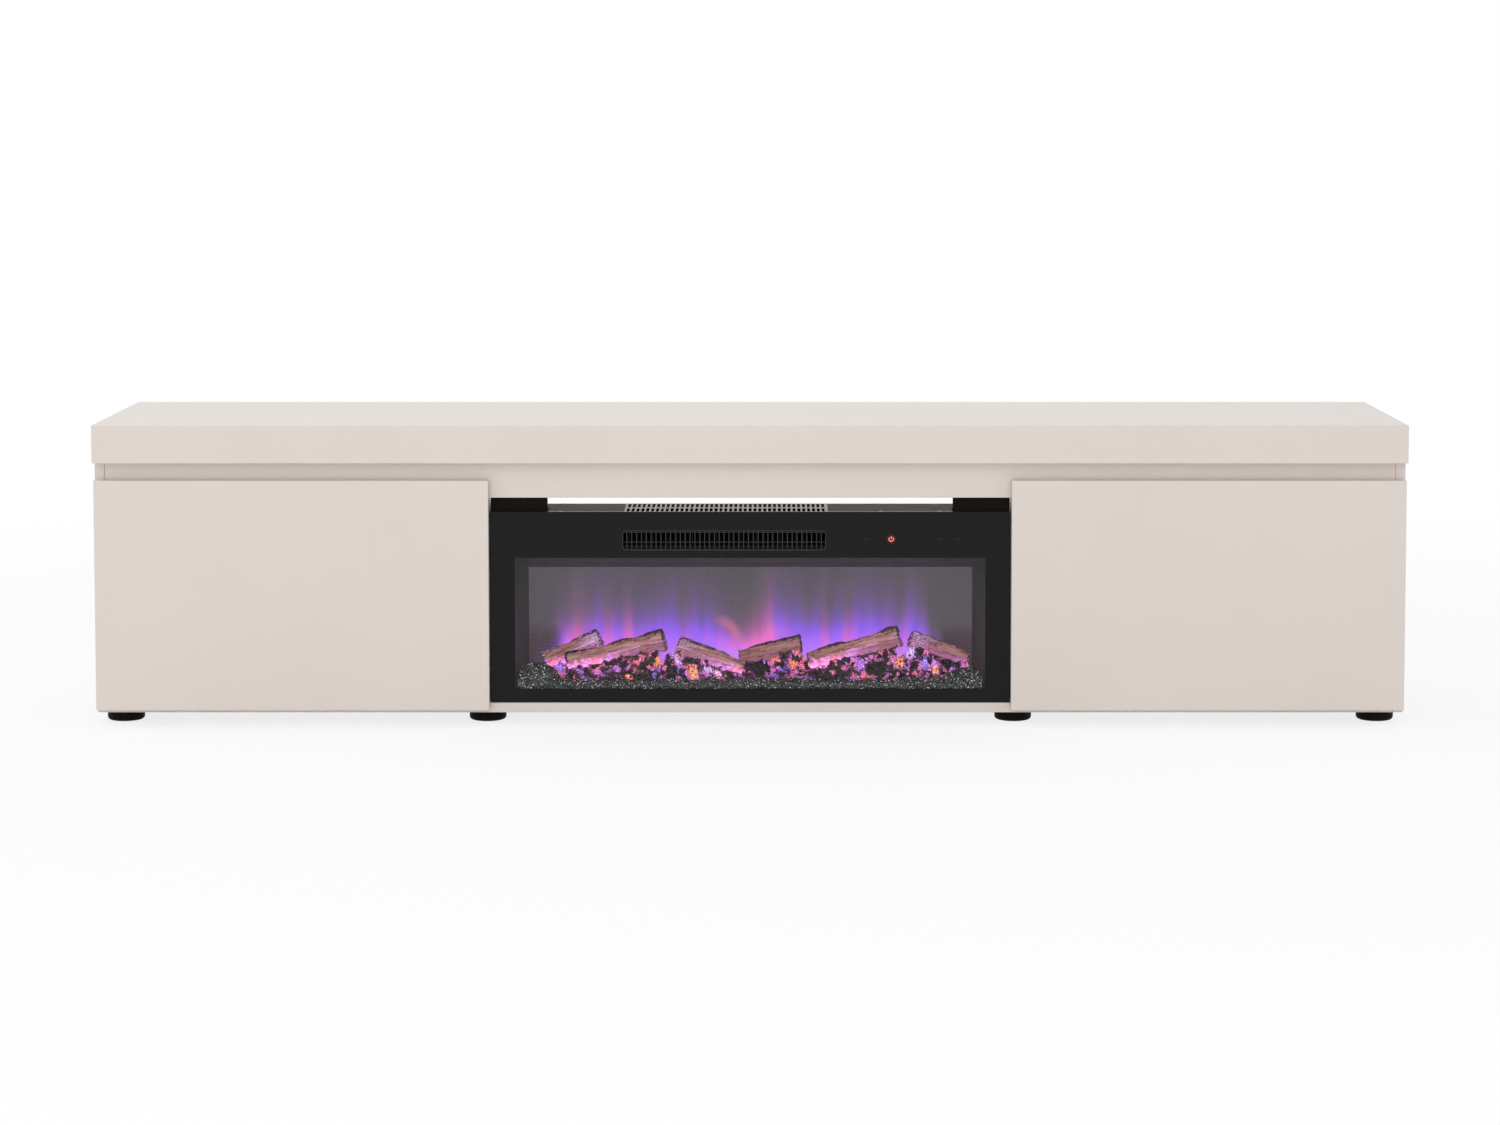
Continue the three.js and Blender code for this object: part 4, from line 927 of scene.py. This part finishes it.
HOT_SPOTS = (
    # x, z, half size and colour of the brightest embers
    (-0.1398, 0.0949, 0.010, (1.0, 0.3, 0.03)),
    (-0.0885, 0.0764, 0.010, (1.0, 0.38, 0.06)),
    (-0.1876, 0.0733, 0.006, (1.0, 0.25, 0.03)),
    (0.0388, 0.0949, 0.007, (1.0, 0.22, 0.03)),
    (0.0652, 0.0868, 0.008, (1.0, 0.26, 0.05)),
    (0.2298, 0.0918, 0.011, (1.0, 0.3, 0.06)),
    (0.285, 0.0795, 0.009, (1.0, 0.36, 0.2)),
    (0.2698, 0.0872, 0.008, (0.28, 0.2, 1.0)),
    (0.248, 0.106, 0.011, (0.85, 0.55, 1.0)),
    (0.168, 0.0903, 0.010, (0.5, 0.18, 1.0)),
    (0.024, 0.0949, 0.006, (0.24, 0.16, 1.0)),
    (-0.295, 0.082, 0.012, (0.25, 0.16, 1.0)),
    (-0.0642, 0.0815, 0.009, (0.6, 0.45, 1.0)),
    (-0.112, 0.1, 0.010, (0.75, 0.5, 1.0)),
    (-0.0488, 0.0764, 0.008, (1.0, 0.45, 0.85)),
)
DARK_SPOTS = (
    # x, z and half size of the heaps that stay dark
    (0.012, 0.084, 0.020), (-0.119, 0.08, 0.011), (-0.21, 0.07, 0.014), (-0.165, 0.07, 0.013),
    (0.252, 0.086, 0.010), (0.15, 0.08, 0.009), (0.197, 0.084, 0.015), (0.105, 0.074, 0.012),
)


def ember_light():
    material, tree, shader = new_material("ember_light", Roughness=0.6)
    place = object_place(tree)
    crumbs = noise(place, 560.0, 4.0, 0.62)
    lump = channels(cells(place, 120.0)[1])[0]
    speckle = fade(crumbs, 0.4, 0.55)
    lit = fade(noise(place, 80.0), 0.42, 0.58) * fade(lump, 0.7, 0.5) * speckle
    lit = lit * fade(axes(place)[2], *EMBER_FOOT)
    hue = ramp(noise(place, 26.0, 2.0), EMBER_HUES)
    uneven = (noise(place, 160.0) - 0.5) * 0.03
    for x, z, size in DARK_SPOTS:
        lit = lit * fade(away_from(place, x, z) + uneven, size * 0.6, size * 1.1)
    for x, z, size, colour in HOT_SPOTS:
        near = fade(away_from(place, x, z) + uneven, size, size * 0.35)
        hue = blend_colours(near, hue, (*colour, 1))
        lit = work_out("MAXIMUM", lit, near * (speckle * 1.1 + 0.12))
    hue = blend_colours(fade(crumbs, 0.56, 0.66) * 0.7, hue, EMBER_CORE)
    give_light(shader, blend_colours(1.0, hue, lit, "MULTIPLY"), EMBER_STRENGTH)
    ash = fade(crumbs, 0.58, 0.66) * 0.8
    connect(blend_colours(ash, EMBER_CRUST, EMBER_ASH), shader.inputs["Base Color"])
    bump(shader, crumbs, 0.8, 0.0012)
    return material


def own_copy(node, name):
    """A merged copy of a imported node's mesh, to model on."""
    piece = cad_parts[node].copy()
    piece.data = piece.data.copy()
    piece.parent = None
    for key in list(piece.keys()):
        if key.startswith("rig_"):
            del piece[key]
    bpy.context.collection.objects.link(piece)
    piece.name = piece.data.name = name
    with edited(piece):
        bpy.ops.mesh.remove_doubles(threshold=MERGED_WITHIN)
    return piece


def press_flat(piece, axis, limit, side):
    """Flattens whatever stands beyond a level on one axis: above it for 1, under it for -1."""
    across = [0 if index == axis else 1 for index in range(3)]
    with edited(piece):
        choose(piece, "verts", lambda vert: (vert.co[axis] - limit) * side > 0)
        bpy.ops.transform.resize(value=across, center_override=[limit * (1 - share) for share in across])


ember_lumps = rough_texture("ember_lumps", "VORONOI", 0.009)
ember_chips = rough_texture("ember_chips", "CLOUDS", 0.004)
embers = own_copy("ember_bed", "ember_bed_heaped")
bed_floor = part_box("ember_bed")[0].z
heap_floor = bed_floor + EMBER_FLOOR_GAP
draw = random.Random(EMBER_SEED)
heap_tops = [(x, HEAPS_BETWEEN_DEPTH, z) for x, z in HEAPS_BETWEEN]
for low_end, high_end, depth, radii, _, _, _ in LOG_TABLE:
    low_end, high_end = (Vector((x, depth - HEAP_FORWARD, z)) for x, z in (low_end, high_end))
    for share in spaced(*HEAP_ALONG_LOG, HEAP_PITCH / (high_end - low_end).length):
        cover = Vector((0, 0, sum(radii) / 2 * draw.uniform(*HEAP_COVER)))
        heap_tops.append(low_end.lerp(high_end, share) - cover)
heaps = [embers]
for x, y, z in heap_tops:
    bpy.ops.mesh.primitive_cone_add(
        vertices=HEAP_CORNERS, radius1=1, radius2=0.5, depth=z - heap_floor,
        location=(x, y, (z + heap_floor) / 2))
    bpy.context.object.scale = (draw.uniform(*HEAP_HALF_WIDTH), HEAP_HALF_DEPTH, 1)
    heaps.append(named("ember_heap"))
embers = unite("ember_bed_heaped", heaps)
run_modifier(embers, "REMESH", mode="VOXEL", voxel_size=EMBER_VOXEL)
for texture, strength in ((ember_lumps, -EMBER_LUMP_DEPTH), (ember_chips, EMBER_CHIP_HEIGHT)):
    run_modifier(embers, "DISPLACE", texture=texture, texture_coords="LOCAL", strength=strength,
                 mid_level=0.5)
press_flat(embers, 1, screen_low.y - SCREEN_GAP, 1)
press_flat(embers, 2, bed_floor, -1)
hand_over(embers, ember_light(), "cabinet", "ember_resin", "ember_bed")

# Crystal gravel
# Loose dark glass chippings in front of the embers and heaped up at both ends. Each has a few flat facets.
# Small spots are painted near white as painted glints, and the chippings' colour is given out as faint
# painted light.
GRAVEL_VOXEL = 0.0026
GRAVEL_SEED = 7
GRAVEL_COUNT = 4600
GRAVEL_SIZE = (0.0011, 0.0026)
GRAVEL_STRETCH = (0.7, 1.3)
GRAVEL_HEAPED = 0.0085
GRAVEL_DRAWN_BACK = 0.0028
GRAVEL_HOLLOW_DEPTH = 0.003
GRAVEL_HALF_WIDTH = 0.3545
GRAVEL_AT_ENDS = (0.25, 0.3455)
GRAVEL_DEPTHS = (-0.1685, -0.12)
GRAVEL_DROP_HEIGHT = 0.2
GRAVEL_HEIGHTS = (0.038, 0.1, 0.045)
GRAVEL_THROWN_FROM = -0.2
GRAVEL_ASTRAY = 0.06
PAINTED_GLINT_COLOUR = (0.8, 0.82, 0.81, 1)
END_HEAP_X, END_HEAP_Y = 0.334, -0.14
END_HEAP_SPREAD = (0.05, 0.04)
END_HEAP_HEIGHTS = (0.054, 0.044)
HOOD_SIDE_X, HOOD_SIDE_Y = 0.3525, -0.1505
HOOD_TAPER = 0.21
CHIPPING_FACETS = (
    # the way a facet looks, and how far from the middle it is cut
    ((0.3, 0.2, 1), 0.62), ((-0.9, 0.35, 0.1), 0.66), ((0.5, -0.8, -0.3), 0.7),
)


def gravel_glass():
    material, tree, shader = new_material("dark_glass_chippings", Roughness=0.2)
    from_middle, chance = cells(object_place(tree), 420.0)
    tone, painted_glint, _ = channels(chance)
    colour = blend_colours(tone, (0.005, 0.006, 0.0055, 1), (0.045, 0.05, 0.047, 1))
    # Painted glints: small random spots painted near white
    painted_glint = fade(painted_glint, 0.71, 0.8) * fade(from_middle, 0.4, 0.24)
    colour = blend_colours(painted_glint, colour, PAINTED_GLINT_COLOUR)
    connect(colour, shader.inputs["Base Color"])
    # Painted light: the chippings' colour is given out again at under half strength
    give_light(shader, blend_colours(1.0, colour, (0.45, 0.45, 0.45, 1), "MULTIPLY"))
    return material


gravel_low, gravel_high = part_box("crystal_gravel")
gravel_base = own_copy("crystal_gravel", "gravel_base")
with edited(gravel_base):
    choose(gravel_base, "verts", lambda vert: vert.co.z > (gravel_low.z + gravel_high.z) / 2)
    bpy.ops.transform.translate(value=(0, 0, GRAVEL_HEAPED))
for side, heap_height in zip((-1, 1), END_HEAP_HEIGHTS):
    bpy.ops.mesh.primitive_uv_sphere_add(
        segments=24, ring_count=12, radius=1, location=(side * END_HEAP_X, END_HEAP_Y, gravel_low.z))
    bpy.context.object.scale = (*END_HEAP_SPREAD, heap_height)
    heap = named("end_heap")
    slice_off(
        heap, (gravel_low, (0, 0, -1)), ((side * HOOD_SIDE_X, HOOD_SIDE_Y, 0), (side, HOOD_TAPER, 0)))
    carve(gravel_base, heap, "UNION")
run_modifier(gravel_base, "REMESH", mode="VOXEL", voxel_size=GRAVEL_VOXEL)
run_modifier(gravel_base, "DISPLACE", texture=ember_lumps, texture_coords="LOCAL",
             strength=-GRAVEL_HOLLOW_DEPTH, mid_level=0.9)
for axis, limit, side in (
        (0, gravel_low.x, -1), (0, gravel_high.x, 1), (1, gravel_low.y + GRAVEL_DRAWN_BACK, -1),
        (1, screen_low.y - SCREEN_GAP, 1), (2, gravel_low.z, -1)):
    press_flat(gravel_base, axis, limit, side)

bpy.ops.mesh.primitive_ico_sphere_add(subdivisions=1, radius=1)
crystal = named("crystal")
slice_off(crystal, *((Vector(outward).normalized() * reach, outward) for outward, reach in CHIPPING_FACETS))
corner_places = [vert.co.copy() for vert in crystal.data.vertices]
facets = [tuple(face.vertices) for face in crystal.data.polygons]
bpy.data.objects.remove(crystal)

# Each chipping falls from above or is thrown from the front, every third one towards the ends. It stays if it
# meets the gravel first, and a few stray onto the embers.
bpy.context.view_layer.update()
draw = random.Random(GRAVEL_SEED)
chippings = bmesh.new()
for index in range(GRAVEL_COUNT):
    x = draw.uniform(-GRAVEL_HALF_WIDTH, GRAVEL_HALF_WIDTH)
    if index % 3 == 0:
        x = math.copysign(draw.uniform(*GRAVEL_AT_ENDS), x)
    if index % 2:
        start, way = Vector((x, draw.uniform(*GRAVEL_DEPTHS), GRAVEL_DROP_HEIGHT)), (0, 0, -1)
    else:
        start, way = Vector((x, GRAVEL_THROWN_FROM, draw.triangular(*GRAVEL_HEIGHTS))), (0, 1, -0.1)
    reaches = []
    for surface in (gravel_base, embers):
        met, place, _, _ = surface.ray_cast(start, way)
        reaches.append((place - start).length if met else math.inf)
    reach = min(reaches)
    astray = draw.random() < GRAVEL_ASTRAY
    if reach == math.inf or (not astray and reaches[0] > reach + JOINT_GAP):
        continue
    place = start + Vector(way).normalized() * reach
    size = draw.uniform(*GRAVEL_SIZE)
    room = size * GRAVEL_STRETCH[1]
    place.y = min(max(place.y, gravel_low.y + room), screen_low.y - room)
    place.z = max(place.z, gravel_low.z + room)
    turn = Euler([draw.uniform(0, math.tau) for _ in range(3)]).to_matrix()
    stretch = Matrix.Diagonal((
        size * draw.uniform(*GRAVEL_STRETCH), size * draw.uniform(*GRAVEL_STRETCH), size))
    corners = [chippings.verts.new(place + turn @ stretch @ corner) for corner in corner_places]
    for facet in facets:
        chippings.faces.new([corners[number] for number in facet])
loose = bpy.data.meshes.new("loose_chippings")
chippings.to_mesh(loose)
chippings.free()
loose_chippings = bpy.data.objects.new("loose_chippings", loose)
bpy.context.collection.objects.link(loose_chippings)
gravel = unite("crystal_gravel_heaped", [gravel_base, loose_chippings])
hand_over(gravel, gravel_glass(), "cabinet", "gravel_crystal", "crystal_gravel")

# Front glass
# One pane of polished glass, printed black on its back all round, with a clear window and a rounded opening
# for the air outlet. The back-lit touch marks lie behind the print.
WINDOW_HALF_WIDTH = 0.36
WINDOW_LOW, WINDOW_HIGH = 0.056, 0.2585
WINDOW_INDEX = 1.17
GLASS_EDGE = 0.0005
OUTLET_RADIUS = 0.0063
OUTLET_CORNER_STEPS = 8
OUTLET_CLEARANCE = 0.0003
OUTLET_LIP = 0.004
CUT_THROUGH = 0.01
PRINT_COLOUR = (0.0052, 0.0052, 0.0048, 1)
DUST_COLOUR = (0.1, 0.1, 0.1, 1)
HALO_COLOUR = (0.09, 0.004, 0.003, 1)
POWER_MARK_X, POWER_MARK_Z = 0.2156, 0.2875


def printed_glass():
    material, tree, shader = new_material(
        "black_printed_glass", Roughness=0.05, Specular_IOR_Level=0.2, IOR=1.45)
    place = object_place(tree)
    halo = fade(away_from(place, POWER_MARK_X, POWER_MARK_Z), 0.009, 0.003)
    give_light(shader, blend_colours(halo, (0, 0, 0, 1), HALO_COLOUR))
    dust = fade(noise(place, 900.0, 2.0), 0.78, 0.84)
    connect(blend_colours(dust, PRINT_COLOUR, DUST_COLOUR), shader.inputs["Base Color"])
    connect(noise(place, 14.0, 4.0) * 0.07 + 0.03, shader.inputs["Roughness"])
    return material


def rounded_block(name, low, high, radius):
    """A block whose four edges along Y are rounded."""
    piece = block(name, low, high)
    least = (high[1] - low[1]) / 2
    with edited(piece, "EDGE"):
        choose(piece, "edges", lambda edge: abs(edge.verts[0].co.y - edge.verts[1].co.y) > least)
        bpy.ops.mesh.bevel(offset=radius, segments=OUTLET_CORNER_STEPS, affect="EDGES")
    return piece


glass_low, glass_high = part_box("fire_front_glass")
rim_low = outlet_low + Vector((OUTLET_LIP, 0, OUTLET_LIP))
rim_high = outlet_high - Vector((OUTLET_LIP, 0, OUTLET_LIP))
gap = Vector((OUTLET_CLEARANCE, CUT_THROUGH, OUTLET_CLEARANCE))
glass = block("front_glass_printed", glass_low, glass_high)
carve(glass, rounded_block("opening", rim_low - gap, rim_high + gap, OUTLET_RADIUS))
with edited(glass):
    for place, facing in (
            ((-WINDOW_HALF_WIDTH, 0, 0), (1, 0, 0)), ((WINDOW_HALF_WIDTH, 0, 0), (1, 0, 0)),
            ((0, 0, WINDOW_LOW), (0, 0, 1)), ((0, 0, WINDOW_HIGH), (0, 0, 1))):
        bpy.ops.mesh.select_all(action="SELECT")
        bpy.ops.mesh.bisect(plane_co=place, plane_no=facing)
soften(glass, GLASS_EDGE, 2)
window_glass = new_material(
    "clear_window_glass", Base_Color=(0.96, 0.955, 0.96, 1), Transmission_Weight=1.0, IOR=WINDOW_INDEX,
    Roughness=0.0)[0]
hand_over(glass, printed_glass(), "cabinet", "black_glass", "fire_front_glass")
glass.data.materials.append(window_glass)
for face in glass.data.polygons:
    in_window = abs(face.center.x) < WINDOW_HALF_WIDTH and WINDOW_LOW < face.center.z < WINDOW_HIGH
    if in_window and abs(face.normal.y) > 0.9:
        face.material_index = 1

# Power mark and touch marks
# The lit mark is a broken ring with an upright stroke. The other touch marks are unlit, thin grey dashes.
MARK_PROUD = 0.00015
MARK_RADIUS = 0.0041
MARK_STROKE = 0.0011
MARK_GAP = math.radians(38)
MARK_CORNERS = 40
DASH_LENGTH = 0.0042
DASHES_X = (0.178, 0.291, 0.317)


def mark_light():
    material, tree, shader = new_material("lit_mark", Roughness=0.4, Base_Color=(0.4, 0.03, 0.02, 1))
    light = fade(noise(object_place(tree), 300.0), 0.2, 0.7)
    give_light(shader, blend_colours(light, (1.0, 0.1, 0.06, 1), (1.0, 0.3, 0.2, 1)), 1.3)
    return material


mark_middle = (POWER_MARK_X, glass_low.y - MARK_PROUD, POWER_MARK_Z)
bpy.ops.mesh.primitive_circle_add(
    vertices=MARK_CORNERS, radius=MARK_RADIUS, location=mark_middle, rotation=(math.pi / 2, 0, 0))
ring = named("power_mark_ring")
with edited(ring):
    choose(ring, "verts", lambda vert: abs(math.atan2(
        vert.co.x - POWER_MARK_X, vert.co.z - POWER_MARK_Z)) < MARK_GAP)
    bpy.ops.mesh.delete(type="VERT")
    bpy.ops.mesh.select_all(action="SELECT")
    bpy.ops.mesh.extrude_edges_move()
    bpy.ops.transform.resize(
        value=((MARK_RADIUS - MARK_STROKE) / MARK_RADIUS,) * 3, center_override=mark_middle)
run_modifier(ring, "SOLIDIFY", thickness=MARK_PROUD * 1.6, offset=0)
stroke = block(
    "power_mark_stroke",
    (POWER_MARK_X - MARK_STROKE / 2, glass_low.y - MARK_PROUD * 1.8, POWER_MARK_Z),
    (POWER_MARK_X + MARK_STROKE / 2, glass_low.y - MARK_PROUD * 0.2, POWER_MARK_Z + MARK_RADIUS * 1.1))
hand_over(unite("power_mark", [ring, stroke]), mark_light(), "cabinet", "outlet_plastic")

unlit = surfaced(
    "unlit_mark", (0.02, 0.022, 0.02, 1), (0.03, 0.03, 0.03, 1), roughness=0.4, cloud_size=200.0,
    grain_size=900.0, grain_strength=0.1)
dash = block("dash", (-DASH_LENGTH / 2, glass_low.y - MARK_PROUD, POWER_MARK_Z - MARK_STROKE / 3),
             (DASH_LENGTH / 2, glass_low.y - MARK_PROUD * 0.1, POWER_MARK_Z + MARK_STROKE / 3))
soften(dash, MARK_PROUD * 0.3, 1)
touch_marks = unite("touch_marks", [copy_of(dash, "dash", Matrix.Translation((x, 0, 0))) for x in DASHES_X])
bpy.data.objects.remove(dash)
hand_over(touch_marks, unlit, "cabinet", "outlet_plastic")

# Warm air outlet
# A moulded black frame that stands just proud of the glass, with upright slats and two thin cross bars
# behind them.
OUTLET_RIM = 0.0016
OUTLET_LIP_THICKNESS = 0.0015
SLAT_PITCH = 0.0075
SLAT_WIDTH = 0.0014
SLAT_SETBACK = 0.0009
SLAT_FROM_BACK = 0.0008
BAR_SHARES = (0.4, 0.88)
BAR_HEIGHT = 0.0011
BAR_FROM_BACK = (0.003, 0.0004)

outlet_moulding = surfaced(
    "outlet_moulding", (0.04, 0.041, 0.039, 1), (0.047, 0.047, 0.045, 1), roughness=0.5, cloud_size=30.0,
    grain_size=1400.0, grain_strength=0.15, Specular_IOR_Level=0.14)


def framed(name, low, high):
    """A rounded block with the outlet's mouth cut through it."""
    piece = rounded_block(name, low, high, OUTLET_RADIUS)
    inset = Vector((OUTLET_RIM, -CUT_THROUGH, OUTLET_RIM))
    carve(piece, rounded_block("mouth", rim_low + inset, rim_high - inset, OUTLET_RADIUS - OUTLET_RIM))
    return piece


rim = framed("outlet_rim", rim_low, rim_high)
soften(rim, OUTLET_RIM * 0.3, 2)
lip = framed("outlet_lip", (outlet_low.x, outlet_high.y - OUTLET_LIP_THICKNESS, outlet_low.z), outlet_high)
slat = block("slat", (-SLAT_WIDTH / 2, glass_low.y + SLAT_SETBACK, rim_low.z + OUTLET_RIM / 2),
             (SLAT_WIDTH / 2, outlet_high.y - SLAT_FROM_BACK, rim_high.z - OUTLET_RIM / 2))
soften(slat, SLAT_WIDTH * 0.2, 2)
outlet_parts = [rim, lip] + [
    copy_of(slat, "slat", Matrix.Translation((x, 0, 0)))
    for x in spaced(rim_low.x, rim_high.x, SLAT_PITCH)[1:-1]]
bpy.data.objects.remove(slat)
for share in BAR_SHARES:
    z = rim_low.z + share * (rim_high.z - rim_low.z)
    bar = block("bar", (rim_low.x + OUTLET_RIM / 2, outlet_high.y - BAR_FROM_BACK[0], z - BAR_HEIGHT / 2),
                (rim_high.x - OUTLET_RIM / 2, outlet_high.y - BAR_FROM_BACK[1], z + BAR_HEIGHT / 2))
    soften(bar, BAR_HEIGHT * 0.2, 2)
    outlet_parts.append(bar)
outlet = unite("warm_air_outlet", outlet_parts)
hand_over(outlet, outlet_moulding, "cabinet", "outlet_plastic", "outlet_grille")

# Floor, background and light
# A plain pale floor that keeps a soft shadow, a white background, and soft studio light from above and from
# the left.
FLOOR_SIZE = 60
FLOOR_COLOUR = (0.93, 0.93, 0.93, 1)
FLOOR_WHITE_SHARE = 0.8
FLOOR_FADE = (1.3, 3.2)
WORLD_STRENGTH = 0.8
WHITE = (1, 1, 1, 1)
LAMP_AIM = Vector((0, 0, 0.25))
AREA_LIGHTS = (
    # place, size and power
    ((-0.5, -4.8, 2.1), 3.2, 42),
    ((-1.4, 0.1, 3.4), 2.6, 13),
)


def seen_directly(tree):
    """1 for camera, mirror and glass rays, which see the white background."""
    path = add_node(tree, "ShaderNodeLightPath", {}).outputs
    camera_ray, mirror_ray, glass_ray = (
        Pattern(path[f"Is {kind} Ray"]) for kind in ("Camera", "Glossy", "Transmission"))
    return work_out("ADD", camera_ray + mirror_ray, glass_ray, clamp=True)


bpy.ops.mesh.primitive_plane_add(size=FLOOR_SIZE, location=(0, 0, 0))
floor = bpy.context.object
floor.name = "floor"
floor_material, tree, shader = new_material(
    "pale_floor", Base_Color=FLOOR_COLOUR, Roughness=0.9, Specular_IOR_Level=0.0)
white = pattern(tree, "ShaderNodeEmission", {"Color": WHITE, "Strength": 1.0})
away = combined("ShaderNodeVectorMath", {0: object_place(tree)}, "Value", operation="LENGTH")
share = seen_directly(tree) * (fade(away, *FLOOR_FADE) * (1 - FLOOR_WHITE_SHARE) + FLOOR_WHITE_SHARE)
mixed = combined("ShaderNodeMixShader", {0: share, 1: Pattern(shader.outputs[0]), 2: white})
connect(mixed, tree.nodes["Material Output"].inputs["Surface"])
floor.data.materials.append(floor_material)

world = bpy.data.worlds.new("studio")
bpy.context.scene.world = world
world.use_nodes = True
tree = world.node_tree
tree.nodes.clear()
soft, bright = (
    pattern(tree, "ShaderNodeBackground", {"Color": WHITE, "Strength": strength})
    for strength in (WORLD_STRENGTH, 1.0))
mixed = combined("ShaderNodeMixShader", {0: seen_directly(tree), 1: soft, 2: bright})
add_node(tree, "ShaderNodeOutputWorld", {"Surface": mixed})

for place, size, power in AREA_LIGHTS:
    bpy.ops.object.light_add(type="AREA", location=place)
    lamp = bpy.context.object
    lamp.rotation_euler = (LAMP_AIM - Vector(place)).to_track_quat("-Z", "Y").to_euler()
    lamp.data.size = size
    lamp.data.energy = power

bpy.context.scene.view_settings.view_transform = "Standard"
